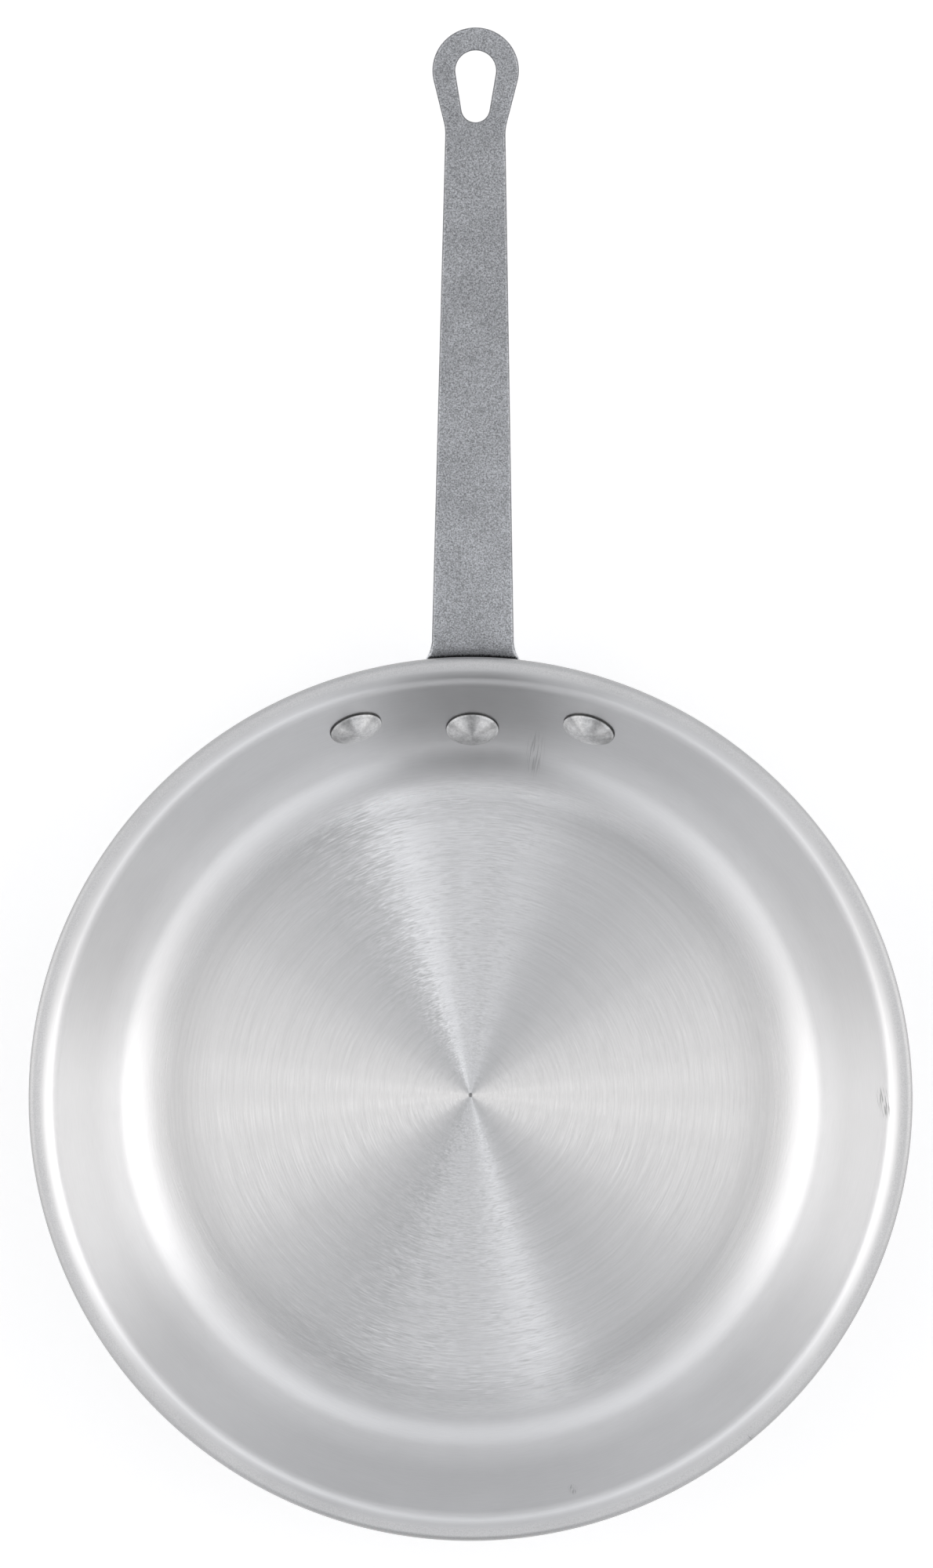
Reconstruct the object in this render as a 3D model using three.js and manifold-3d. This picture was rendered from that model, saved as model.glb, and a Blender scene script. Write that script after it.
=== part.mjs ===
// Commercial aluminium frying pan: a pressed bowl with a flared lip, a stamped steel strap handle
// and three solid rivets. Millimetres, +Z up, origin at the centre of the underside, handle along +Y.

import * as THREE from "three";
import { LoftGeometry } from "three/addons/geometries/LoftGeometry.js";
import { mergeVertices } from "three/addons/utils/BufferGeometryUtils.js";
import Module from "manifold-3d";

const { acos, asin, atan2, cos, hypot, max, min, PI, sin, sqrt } = Math;
const radians = THREE.MathUtils.degToRad;

// Bowl
const RIM_DIAMETER = 260;
const PAN_HEIGHT = 44;
const FLOOR_DIAMETER = 175; // flat cooking floor inside
const SHEET = 3.5; // thickness of the aluminium all over
const CORNER_RADIUS = 24; // inside, between floor and wall
const WALL_BOW = radians(10); // the wall steepens by twice this from corner to lip
const CREASE = radians(24); // the lip leaves the wall at a slope that is less by this
const CREASE_ROUND = 0.8; // length of the rounding on each side of the crease
const LIP_RADIUS = 10; // upper side of the roll from crease to brim
const LIP_FLAT = 0.3; // straight brim outside the roll
const LIP_SLOPE = radians(8); // rise of the brim
const CENTRE_MARK_DIAMETER = 1.4; // dimple left by the lathe centre
const CENTRE_MARK_DEPTH = 0.4;

// Handle
const STRAP = 3.2; // thickness of the steel
const STRAP_EDGE_ROUND = 0.8;
const STRAP_ROOT_WIDTH = 24.1;
const STRAP_NECK_WIDTH = 17.5;
const GRIP_LENGTH = 189.3; // along the strap, from the root bend to the tip
const ROOT_BEND_RADIUS = 8; // middle of the steel
const ROOT_RISE = radians(17); // slope just outside the root bend
const TIP_RISE = radians(9); // slope at the eye
const ROOT_FILLET = 11; // between strap and flange
const EYE_DIAMETER = 25.2;
const EYE_TO_NECK = 17;
const NECK_ROUND = 4; // length of the rounding on each side of the neck
const HANG_HOLE_WIDE_RADIUS = 5.9;
const HANG_HOLE_NARROW_RADIUS = 4.1;
const HANG_HOLE_SPAN = 11; // between the centres of its two round ends
const FLANGE_FOOT = 10.5; // flange below the centre rivet
const WING_RADIUS = 9; // round ends of the flange
const WING_SLOPE = radians(11); // the flange's upper edge falls towards its ends

// Rivets
const RIVET_INSET = 20.7; // from the rim to the row of rivets, in plan
const RIVET_PITCH = 34.5; // in plan
const HEAD_DIAMETER = 15.7;
const HEAD_HEIGHT = 3;
const HEAD_EDGE = 0.9; // upright edge under the dome
const SHANK_DIAMETER = 6.2;
const TAIL_DIAMETER = 11.6;
const TAIL_TOP_DIAMETER = 9;
const TAIL_HEIGHT = 2.4;

// Fits
const SEAT_GAP = 0.3; // between pieces that are clamped on each other
const HOLE_GAP = 0.3; // round a shank

// Fineness of the facets
const BOWL_SIDES = 80;
const CORNER_STEPS = 6;
const WALL_STEPS = 4;
const CREASE_STEPS = 3;
const LIP_STEPS = 5;
const RIVET_SIDES = 28;
const DOME_STEPS = 6;
const SEAT_SIDES = 240; // where a rivet's tail follows the flange
const FLANGE_STEPS = 10; // each of the foot and the round ends
const FILLET_STEPS = 8;
const GRIP_STEPS = 14;
const NECK_STEPS = 4;
const EYE_STEPS = 14;
const STRAP_COLUMNS = 10;
const STRAP_EDGE_STEPS = 2;
const HALVINGS = 60; // enough to settle a value to the last digit

const wasm = await Module();
wasm.setup();

// A closed geometry as a solid that can be joined and cut.
function toSolid(geometry) {
  const bare = new THREE.BufferGeometry().copy(geometry);
  bare.deleteAttribute("normal");
  bare.deleteAttribute("uv");
  const merged = mergeVertices(bare);
  const mesh = new wasm.Mesh({
    numProp: 3,
    vertProperties: new Float32Array(merged.attributes.position.array),
    triVerts: new Uint32Array(merged.index.array),
  });
  return new wasm.Manifold(mesh);
}

function toGeometry(solid) {
  const { vertProperties, triVerts } = solid.getMesh();
  const geometry = new THREE.BufferGeometry();
  geometry.setAttribute("position", new THREE.BufferAttribute(vertProperties, 3));
  geometry.setIndex(new THREE.BufferAttribute(triVerts, 1));
  geometry.computeVertexNormals();
  return geometry;
}

// Halves the range until it closes on the value where a rising test turns from below to above.
function findByHalving(low, high, isBelow) {
  for (let round = 0; round < HALVINGS; round += 1) {
    const middle = (low + high) / 2;
    if (isBelow(middle)) low = middle;
    else high = middle;
  }
  return (low + high) / 2;
}

// A line in the half plane of radius and height, made of straight and round stretches that join
// without a kink. Each stretch has a length, the angle it turns through (upwards positive) and the
// number of steps that it is drawn with.
class ProfileLine {
  constructor(start, stretches) {
    this.start = start;
    this.stretches = stretches;
    this.length = stretches.reduce((sum, stretch) => sum + stretch.length, 0);
  }

  static advance({ radius, height, slope }, length, turn) {
    if (turn === 0) {
      return { radius: radius + length * cos(slope), height: height + length * sin(slope), slope };
    }
    const bend = length / turn;
    return {
      radius: radius + bend * (sin(slope + turn) - sin(slope)),
      height: height + bend * (cos(slope) - cos(slope + turn)),
      slope: slope + turn,
    };
  }

  at(station) {
    let place = this.start;
    let left = station;
    for (const [index, { length, turn }] of this.stretches.entries()) {
      const last = index === this.stretches.length - 1;
      if (left <= length || last) return ProfileLine.advance(place, left, (turn * left) / length);
      place = ProfileLine.advance(place, length, turn);
      left -= length;
    }
    return place;
  }

  stationAtRadius(radius) {
    return findByHalving(0, this.length, (station) => this.at(station).radius < radius);
  }

  // The parallel line at a distance on the outer side of the bowl.
  offset(distance) {
    const { radius, height, slope } = this.start;
    const start = { radius: radius + distance * sin(slope), height: height - distance * cos(slope), slope };
    return new ProfileLine(
      start,
      this.stretches.map(({ length, turn, steps }) => ({ length: length + turn * distance, turn, steps })),
    );
  }

  // The part of the line between two stations.
  between(from, to) {
    const parts = [];
    let begin = 0;
    for (const { length, turn, steps } of this.stretches) {
      const part = min(to, begin + length) - max(from, begin);
      if (part > 0) parts.push({ length: part, turn: (turn * part) / length, steps });
      begin += length;
    }
    return new ProfileLine(this.at(from), parts);
  }

  points() {
    const places = [this.start];
    for (const { length, turn, steps } of this.stretches) {
      const from = places.at(-1);
      for (let step = 1; step <= steps; step += 1) {
        places.push(ProfileLine.advance(from, (length * step) / steps, (turn * step) / steps));
      }
    }
    return places.map(({ radius, height }) => new THREE.Vector2(radius, height));
  }
}

// Turns a closed profile of radius and height about the Z axis.
function revolve(profile, sides) {
  return new THREE.LatheGeometry(profile, sides).rotateX(PI / 2);
}

// Bowl: floor, corner and wall are one line, which ends at the crease where the lip begins. The chord
// of the wall has to run from the end of the corner to the crease, which settles its slope.
const rimRadius = RIM_DIAMETER / 2;
const floorRadius = FLOOR_DIAMETER / 2;
const edgeRadius = SHEET / 2;
const brimEnd = {
  radius: rimRadius - edgeRadius - edgeRadius * sin(LIP_SLOPE),
  height: PAN_HEIGHT - edgeRadius + edgeRadius * cos(LIP_SLOPE),
  slope: LIP_SLOPE,
};
const lipCentre = {
  radius: brimEnd.radius - LIP_FLAT * cos(LIP_SLOPE) + LIP_RADIUS * sin(LIP_SLOPE),
  height: brimEnd.height - LIP_FLAT * sin(LIP_SLOPE) - LIP_RADIUS * cos(LIP_SLOPE),
};

// On the lip's round, at a radius from its middle and at a slope.
function lipPlace(radius, slope) {
  const { radius: across, height } = lipCentre;
  return { radius: across - radius * sin(slope), height: height + radius * cos(slope), slope };
}

function creasePlace(wallSlope) {
  return lipPlace(LIP_RADIUS, wallSlope + WALL_BOW - CREASE);
}

function wallChord(wallSlope) {
  const foot = wallSlope - WALL_BOW;
  const crease = creasePlace(wallSlope);
  const run = crease.radius - floorRadius - CORNER_RADIUS * sin(foot);
  const rise = crease.height - SHEET - CORNER_RADIUS * (1 - cos(foot));
  return { slope: atan2(rise, run), length: hypot(run, rise) };
}

const wallSlope = findByHalving(WALL_BOW, PI / 2, (slope) => slope < wallChord(slope).slope);
const wallRadius = wallChord(wallSlope).length / (2 * sin(WALL_BOW));
const crease = creasePlace(wallSlope);
const wallLine = new ProfileLine({ radius: 0, height: SHEET, slope: 0 }, [
  { length: floorRadius, turn: 0, steps: 1 },
  { length: CORNER_RADIUS * (wallSlope - WALL_BOW), turn: wallSlope - WALL_BOW, steps: CORNER_STEPS },
  { length: wallRadius * 2 * WALL_BOW, turn: 2 * WALL_BOW, steps: WALL_STEPS },
]);
const rimEdge = new ProfileLine(brimEnd, [{ length: PI * edgeRadius, turn: -PI, steps: LIP_STEPS }]);

// One side of the lip, from the wall to the end of the brim.
function lipLine(start, radius) {
  const turn = start.slope - LIP_SLOPE;
  return new ProfileLine(start, [
    { length: radius * turn, turn: -turn, steps: LIP_STEPS },
    { length: LIP_FLAT, turn: 0, steps: 1 },
  ]);
}

function cookingSide() {
  const lip = lipLine(crease, LIP_RADIUS);
  const lower = wallLine.between(0, wallLine.length - CREASE_ROUND).points();
  const upper = lip.between(CREASE_ROUND, lip.length).points();
  const corner = new THREE.Vector2(crease.radius, crease.height);
  const ridge = new THREE.QuadraticBezierCurve(lower.at(-1), corner, upper[0]).getPoints(CREASE_STEPS);
  return [...lower, ...ridge.slice(1, -1), ...upper];
}

// The outer side lies a sheet's thickness off. Under the crease the wall stops where it meets the lip.
function outerSide() {
  const wall = wallLine.offset(SHEET);
  const underRadius = LIP_RADIUS - SHEET;
  const isBelowLip = (station) => {
    const { radius, height } = wall.at(station);
    return hypot(radius - lipCentre.radius, height - lipCentre.height) < underRadius;
  };
  const meeting = findByHalving(wall.length - SHEET, wall.length, isBelowLip);
  const lipStart = lipPlace(underRadius, asin((lipCentre.radius - wall.at(meeting).radius) / underRadius));
  return [...wall.between(0, meeting).points(), ...lipLine(lipStart, underRadius).points().slice(1)];
}

function bowlGeometry() {
  const profile = [
    new THREE.Vector2(0, SHEET - CENTRE_MARK_DEPTH),
    new THREE.Vector2(CENTRE_MARK_DIAMETER / 2, SHEET),
    ...cookingSide().slice(1),
    ...rimEdge.points().slice(1, -1),
    ...outerSide().reverse(),
  ];
  return revolve(profile.reverse(), BOWL_SIDES);
}

// Everything inside the wall, drawn in or let out by a distance: it cuts what seats on the wall.
function wallCutter(distance, sides) {
  const side = wallLine.offset(distance).points();
  const lid = new THREE.Vector2(0, side.at(-1).y);
  return revolve([...side, lid], sides);
}

// Rivets sit in a row that is straight in plan, each square to the wall where it goes through.
const rivetRow = rimRadius - RIVET_INSET;
const flangeInside = SHEET + SEAT_GAP;
const flangeMiddle = flangeInside + STRAP / 2;
const flangeOutside = flangeInside + STRAP;

function rivetPlace(across) {
  const onWall = wallLine.at(wallLine.stationAtRadius(hypot(across, rivetRow)));
  return { ...onWall, azimuth: atan2(across, rivetRow) };
}

// Local Z is the rivet's axis, towards the inside of the pan, from the cooking side of the wall.
function rivetSeat(across) {
  const { radius, height, slope, azimuth } = rivetPlace(across);
  const swing = new THREE.Matrix4().makeRotationZ(-azimuth);
  const place = new THREE.Matrix4().makeTranslation(0, radius, height);
  const tilt = new THREE.Matrix4().makeRotationX(slope);
  return swing.multiply(place).multiply(tilt);
}

function rod(diameter, low, high) {
  const geometry = new THREE.CylinderGeometry(diameter / 2, diameter / 2, high - low, RIVET_SIDES);
  return geometry.rotateX(PI / 2).translate(0, 0, (low + high) / 2);
}

function rivetGeometry(seat) {
  const toLocal = seat.clone().invert();
  const inside = toSolid(wallCutter(-SEAT_GAP, BOWL_SIDES).applyMatrix4(toLocal));
  const handleSide = toSolid(wallCutter(flangeOutside + SEAT_GAP, SEAT_SIDES).applyMatrix4(toLocal));

  const headRadius = HEAD_DIAMETER / 2;
  const domeHeight = HEAD_HEIGHT - HEAD_EDGE;
  const domeRadius = (headRadius ** 2 + domeHeight ** 2) / (2 * domeHeight);
  const domeSpan = asin(headRadius / domeRadius);
  const dome = new ProfileLine(
    { radius: headRadius, height: HEAD_EDGE, slope: PI - domeSpan },
    [{ length: domeRadius * domeSpan, turn: domeSpan, steps: DOME_STEPS }],
  );
  const headFoot = -HEAD_EDGE;
  const head = revolve(
    [new THREE.Vector2(0, headFoot), new THREE.Vector2(headRadius, headFoot), ...dome.points()],
    RIVET_SIDES,
  );

  const tailFoot = HEAD_EDGE - flangeOutside;
  const tailEnd = -flangeOutside - SEAT_GAP - TAIL_HEIGHT;
  const tail = revolve(
    [
      new THREE.Vector2(0, tailEnd),
      new THREE.Vector2(TAIL_TOP_DIAMETER / 2, tailEnd),
      new THREE.Vector2(TAIL_DIAMETER / 2, tailEnd + TAIL_HEIGHT / 2),
      new THREE.Vector2(TAIL_DIAMETER / 2, tailFoot),
      new THREE.Vector2(0, tailFoot),
    ],
    RIVET_SIDES,
  );
  const shank = rod(SHANK_DIAMETER, tailEnd + TAIL_HEIGHT / 2, HEAD_EDGE);
  const seatedHead = toSolid(head).intersect(inside);
  const seatedTail = toSolid(tail).subtract(handleSide);
  return toGeometry(toSolid(shank).add(seatedHead).add(seatedTail));
}

// Handle: a flat blank, x across and y along from the centre rivet, is cut out and then bent. Along
// the flange it follows the outside of the wall; past the flange it bends out and runs up as the grip.
const seatLine = wallLine.offset(flangeMiddle);

function blankPlace(across) {
  const { radius, slope, azimuth } = rivetPlace(across);
  const seatRadius = radius + flangeMiddle * sin(slope);
  return { station: seatLine.stationAtRadius(seatRadius), across: azimuth * seatRadius };
}

const centreStation = blankPlace(0).station;
const sideRivet = {
  across: blankPlace(RIVET_PITCH).across,
  along: blankPlace(RIVET_PITCH).station - centreStation,
};
const flangeTop = sideRivet.along + WING_RADIUS;
const flangeEnd = seatLine.at(centreStation + flangeTop);
const rootTurn = flangeEnd.slope - ROOT_RISE;
const rootBendLength = ROOT_BEND_RADIUS * rootTurn;
const strapLine = new ProfileLine(flangeEnd, [
  { length: rootBendLength, turn: -rootTurn },
  { length: GRIP_LENGTH, turn: TIP_RISE - ROOT_RISE },
]);
const tipAlong = flangeTop + rootBendLength + GRIP_LENGTH;
const eyeAlong = tipAlong - EYE_DIAMETER / 2;
const neckAlong = eyeAlong - EYE_TO_NECK;

function arc(across, along, radius, from, to, steps) {
  const points = [];
  for (let step = 0; step <= steps; step += 1) {
    const angle = from + ((to - from) * step) / steps;
    points.push(new THREE.Vector2(across + radius * cos(angle), along + radius * sin(angle)));
  }
  return points;
}

// The right half of the blank's outline, from the foot of the flange up to the tip of the eye.
function rightOutline() {
  const footDepth = FLANGE_FOOT - WING_RADIUS;
  const footCentre =
    (sideRivet.across ** 2 + sideRivet.along ** 2 - footDepth ** 2) / (2 * (sideRivet.along + footDepth));
  const wingStart = atan2(sideRivet.along - footCentre, sideRivet.across);
  const foot = arc(0, footCentre, footCentre + FLANGE_FOOT, -PI / 2, wingStart, FLANGE_STEPS);
  const wingStop = PI / 2 - WING_SLOPE;
  const wing = arc(sideRivet.across, sideRivet.along, WING_RADIUS, wingStart, wingStop, FLANGE_STEPS);

  const wingEnd = wing.at(-1);
  const filletAcross = STRAP_ROOT_WIDTH / 2 + ROOT_FILLET;
  const filletAlong =
    wingEnd.y + (ROOT_FILLET + (wingEnd.x - filletAcross) * sin(WING_SLOPE)) / cos(WING_SLOPE);
  const fillet = arc(filletAcross, filletAlong, ROOT_FILLET, -PI / 2 - WING_SLOPE, -PI, FILLET_STEPS);

  const neck = new THREE.Vector2(STRAP_NECK_WIDTH / 2, neckAlong);
  const eyeRadius = EYE_DIAMETER / 2;
  const neckReach = hypot(neck.x, EYE_TO_NECK);
  const eyeStart = acos(eyeRadius / neckReach) - atan2(EYE_TO_NECK, neck.x);
  const eye = arc(0, eyeAlong, eyeRadius, eyeStart, PI / 2, EYE_STEPS);
  const belowNeck = neck.clone().add(fillet.at(-1).clone().sub(neck).setLength(NECK_ROUND));
  const aboveNeck = neck.clone().add(eye[0].clone().sub(neck).setLength(NECK_ROUND));
  const grip = new THREE.LineCurve(fillet.at(-1), belowNeck).getPoints(GRIP_STEPS);
  const neckCurve = new THREE.QuadraticBezierCurve(belowNeck, neck, aboveNeck).getPoints(NECK_STEPS);
  return [...foot, ...wing.slice(1), ...fillet, ...grip.slice(1, -1), ...neckCurve, ...eye];
}

// One section of the strap, across and through: flat faces and rounded edges, thinned by a share
// where the strap's own ends are rounded. It runs over the upper face and back along the lower one.
function strapSection(halfWidth, along) {
  const round = min(STRAP_EDGE_ROUND, halfWidth);
  const flat = halfWidth - round;
  const edgeThrough = STRAP / 2 - STRAP_EDGE_ROUND;
  const edge = arc(0, edgeThrough, STRAP_EDGE_ROUND, 0, PI / 2, STRAP_EDGE_STEPS).slice(0, -1);
  const rightEdge = edge.map(({ x, y }) => new THREE.Vector2(flat + (x * round) / STRAP_EDGE_ROUND, y));
  const leftEdge = rightEdge.map(({ x, y }) => new THREE.Vector2(-x, y));
  const face = new THREE.LineCurve(new THREE.Vector2(-flat, STRAP / 2), new THREE.Vector2(flat, STRAP / 2));
  const upper = [...leftEdge, ...face.getPoints(STRAP_COLUMNS), ...rightEdge.reverse()];
  const lower = upper.map(({ x, y }) => new THREE.Vector2(-x, -y));

  const toEnd = min(tipAlong - along, along + FLANGE_FOOT, STRAP_EDGE_ROUND);
  const lost = STRAP_EDGE_ROUND - sqrt(max(0, STRAP_EDGE_ROUND ** 2 - (STRAP_EDGE_ROUND - toEnd) ** 2));
  const share = 1 - lost / (STRAP / 2);
  return [...upper, ...lower].map(({ x, y }) => bendPoint(x, along, y * share));
}

// How sharply the blank is wrapped across its width: round the pan on the flange, flat on the grip.
function wrapAt(along) {
  if (along <= flangeTop) return 1 / seatLine.at(centreStation + along).radius;
  const fade = THREE.MathUtils.smoothstep(along, flangeTop, flangeTop + ROOT_FILLET);
  return (1 - fade) / flangeEnd.radius;
}

function strapPlace(along) {
  return along <= flangeTop ? seatLine.at(centreStation + along) : strapLine.at(along - flangeTop);
}

// Where a point of the flat blank lies once it is bent.
function bendPoint(across, along, through) {
  const { radius, height, slope } = strapPlace(along);
  const up = height + through * cos(slope);
  const inwards = through * sin(slope);
  const wrap = wrapAt(along);
  if (wrap === 0) return new THREE.Vector3(across, radius - inwards, up);
  const wrapRadius = 1 / wrap;
  const reach = wrapRadius - inwards;
  const turn = across * wrap;
  return new THREE.Vector3(reach * sin(turn), radius - wrapRadius + reach * cos(turn), up);
}

// A teardrop through the eye, wide end outwards.
function hangHole() {
  const flank = asin((HANG_HOLE_WIDE_RADIUS - HANG_HOLE_NARROW_RADIUS) / HANG_HOLE_SPAN);
  const wide = arc(0, 0, HANG_HOLE_WIDE_RADIUS, -flank, PI + flank, EYE_STEPS);
  const narrow = arc(0, -HANG_HOLE_SPAN, HANG_HOLE_NARROW_RADIUS, PI + flank, 2 * PI - flank, EYE_STEPS);
  const { radius, height, slope } = strapPlace(eyeAlong);
  const teardrop = new THREE.Shape([...wide, ...narrow]);
  const punch = new THREE.ExtrudeGeometry(teardrop, { depth: 2 * STRAP, bevelEnabled: false });
  return punch.translate(0, 0, -STRAP).rotateX(slope).translate(0, radius, height);
}

function handleSolid() {
  const sections = rightOutline().map(({ x, y }) => strapSection(x, y));
  return toSolid(new LoftGeometry(sections)).subtract(toSolid(hangHole()));
}

const aluminium = { color: 0xd6d7d8, roughness: 0.38, metalness: 1 };
const platedSteel = { color: 0x9b9fa2, roughness: 0.6, metalness: 0.9 };
const polishedAluminium = { color: 0xdcdcda, roughness: 0.25, metalness: 1 };

function namedMesh(name, geometry, finish) {
  const mesh = new THREE.Mesh(geometry, new THREE.MeshStandardMaterial(finish));
  mesh.name = name;
  return mesh;
}

const rivets = [
  { name: "rivet_left", seat: rivetSeat(-RIVET_PITCH) },
  { name: "rivet_centre", seat: rivetSeat(0) },
  { name: "rivet_right", seat: rivetSeat(RIVET_PITCH) },
];

let bowl = toSolid(bowlGeometry());
let handle = handleSolid();
for (const { seat } of rivets) {
  const drill = toSolid(rod(SHANK_DIAMETER + 2 * HOLE_GAP, -2 * flangeOutside, SHEET).applyMatrix4(seat));
  bowl = bowl.subtract(drill);
  handle = handle.subtract(drill);
}

const fryingPan = new THREE.Group();
fryingPan.name = "frying_pan";
fryingPan.add(namedMesh("pan_body", toGeometry(bowl), aluminium));
fryingPan.add(namedMesh("handle", toGeometry(handle), platedSteel));
for (const { name, seat } of rivets) {
  const rivet = namedMesh(name, rivetGeometry(seat), polishedAluminium);
  rivet.applyMatrix4(seat);
  fryingPan.add(rivet);
}

export default fryingPan;
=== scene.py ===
"""Frying pan: fine meshes, metal finishes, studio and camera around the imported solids.

Sizes are in millimetres and become metres when a mesh is made. +Z is up, the origin is at the centre of the
underside, and the handle runs along +Y.
"""

import logging
from collections.abc import Callable
from dataclasses import dataclass
from enum import Enum
from functools import cached_property
from math import acos, asin, atan2, cos, hypot, pi, radians, sin

import bmesh
import bpy
import numpy as np
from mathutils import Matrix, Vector


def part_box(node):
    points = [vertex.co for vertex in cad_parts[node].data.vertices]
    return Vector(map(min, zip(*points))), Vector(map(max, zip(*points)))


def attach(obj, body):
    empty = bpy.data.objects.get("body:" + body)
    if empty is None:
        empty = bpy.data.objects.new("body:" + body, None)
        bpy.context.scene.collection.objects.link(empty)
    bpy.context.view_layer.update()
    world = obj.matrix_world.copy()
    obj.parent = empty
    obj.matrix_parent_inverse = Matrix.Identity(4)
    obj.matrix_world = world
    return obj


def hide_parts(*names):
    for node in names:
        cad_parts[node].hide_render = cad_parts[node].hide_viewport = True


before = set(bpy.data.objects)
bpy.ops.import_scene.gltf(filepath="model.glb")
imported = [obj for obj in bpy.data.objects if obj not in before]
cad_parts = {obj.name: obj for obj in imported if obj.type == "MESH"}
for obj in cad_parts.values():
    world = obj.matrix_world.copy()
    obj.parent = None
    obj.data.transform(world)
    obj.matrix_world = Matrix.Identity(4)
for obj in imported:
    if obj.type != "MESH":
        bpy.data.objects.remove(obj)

MM = 0.001
BODY = "root"
WELD = 2e-6  # metres: vertices closer than this are one
UV_NAME = "UVMap"
CREASE_ANGLE = radians(16)  # edges that turn by more than this stay crisp
ACROSS_TANGENT = 0.25  # of a turn: brushed metal draws its highlights out across the brushing

Socket = bpy.types.NodeSocket
Colour = tuple[float, float, float, float]
Span = tuple[float, float]
log = logging.getLogger("frying_pan")


class Slot(Enum):
    """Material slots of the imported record."""

    BOWL = "bowl_aluminium"
    HANDLE = "handle_steel"
    RIVET = "rivet_aluminium"


def settle(low: float, high: float, is_below: Callable[[float], bool]) -> float:
    """Halve a range until it closes on the value where a rising test turns from below to above.

    Args:
        low: Lower end of the range.
        high: Upper end of the range.
        is_below: Says whether a value is still below the one that is sought.

    Returns:
        The value.
    """
    for _ in range(60):
        middle = (low + high) / 2
        if is_below(middle):
            low = middle
        else:
            high = middle
    return (low + high) / 2


def arc(across: float, along: float, radius: float, start: float, stop: float, count: int) -> np.ndarray:
    """Points on an arc: centre plus radius times (cos, sin) of evenly spaced angles.

    Args:
        across: First coordinate of the centre.
        along: Second coordinate of the centre.
        radius: Radius of the arc.
        start: First angle in radians.
        stop: Last angle in radians.
        count: Number of points.

    Returns:
        Array of count rows and two columns.
    """
    angle = np.linspace(start, stop, count)
    return np.stack((across + radius * np.cos(angle), along + radius * np.sin(angle)), axis=1)


@dataclass(frozen=True)
class Stretch:
    """One straight or round stretch of a profile."""

    length: float
    turn: float = 0.0  # radians, upwards positive
    steps: int = 1


@dataclass(frozen=True)
class Place:
    """Where a profile line is at some stations: radius, height and slope, each a number or an array."""

    radius: np.ndarray | float
    height: np.ndarray | float
    slope: np.ndarray | float


class ProfileLine:
    """Straight and round stretches that join without a kink, in the half plane of radius and height."""

    def __init__(self, start: Place, stretches: list[Stretch]) -> None:
        """Work out where each stretch begins.

        Args:
            start: Radius, height and slope of the first point.
            stretches: The stretches in order.
        """
        self.start = start
        self.stretches = stretches
        self.lengths = np.array([stretch.length for stretch in stretches])
        self.turns = np.array([stretch.turn for stretch in stretches])
        self.begins = np.concatenate(([0.0], np.cumsum(self.lengths)))
        self.slopes = start.slope + np.concatenate(([0.0], np.cumsum(self.turns)))
        chords = self.lengths * np.sinc(self.turns / (2 * pi))
        headings = self.slopes[:-1] + self.turns / 2
        self.radii = start.radius + np.concatenate(([0.0], np.cumsum(chords * np.cos(headings))))
        self.heights = start.height + np.concatenate(([0.0], np.cumsum(chords * np.sin(headings))))

    def at(self, station: np.ndarray | float) -> Place:
        """Place at a distance along the line.

        Within a stretch the point lies at the end of a chord: its heading is the slope plus half the angle
        turned so far, and its length is the distance times sin(half angle) / half angle.

        Args:
            station: Distances along the line.

        Returns:
            Radius, height and slope there.
        """
        station = np.asarray(station, float)
        index = np.clip(np.searchsorted(self.begins, station) - 1, 0, len(self.lengths) - 1)
        gone = station - self.begins[index]
        turn = self.turns[index] * gone / self.lengths[index]
        chord = gone * np.sinc(turn / (2 * pi))
        heading = self.slopes[index] + turn / 2
        return Place(
            self.radii[index] + chord * np.cos(heading),
            self.heights[index] + chord * np.sin(heading),
            self.slopes[index] + turn,
        )

    def station_at_radius(self, radius: float) -> float:
        """Distance along the line at which it reaches a radius."""
        return settle(0.0, float(self.begins[-1]), lambda station: self.at(station).radius < radius)

    def offset(self, distance: float) -> "ProfileLine":
        """Parallel line at a distance on the outer side: round stretches grow by distance times turn.

        Args:
            distance: How far out.

        Returns:
            The parallel line.
        """
        slope = self.start.slope
        start = Place(
            self.start.radius + distance * sin(slope), self.start.height - distance * cos(slope), slope
        )
        grown = [
            Stretch(stretch.length + stretch.turn * distance, stretch.turn, stretch.steps)
            for stretch in self.stretches
        ]
        return ProfileLine(start, grown)

    def between(self, begin: float, end: float) -> "ProfileLine":
        """Part of the line from one station to another.

        Args:
            begin: Station of its first point.
            end: Station of its last point.

        Returns:
            The part, which keeps the number of steps of each stretch.
        """
        parts = np.minimum(end, self.begins[1:]) - np.maximum(begin, self.begins[:-1])
        kept = [
            Stretch(part, stretch.turn * part / stretch.length, stretch.steps)
            for part, stretch in zip(parts, self.stretches)
            if part > 0
        ]
        return ProfileLine(self.at(begin), kept)

    def points(self) -> np.ndarray:
        """Points of the whole line, with each stretch's own number of steps.

        Returns:
            Array of rows (radius, height).
        """
        stations = [
            np.linspace(begin, begin + stretch.length, stretch.steps, endpoint=False)
            for begin, stretch in zip(self.begins, self.stretches)
        ]
        place = self.at(np.concatenate((*stations, self.begins[-1:])))
        return np.stack((place.radius, place.height), axis=1)


def grid_faces(rows: int, columns: int) -> np.ndarray:
    """Corner numbers of the quads between neighbouring rows and columns of a grid of points.

    Args:
        rows: Number of rows.
        columns: Number of columns.

    Returns:
        Array of quads, four corner numbers each.
    """
    first = (np.arange(rows - 1)[:, None] * columns + np.arange(columns - 1)[None, :]).ravel()
    return np.stack((first, first + 1, first + columns + 1, first + columns), axis=1)


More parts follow.
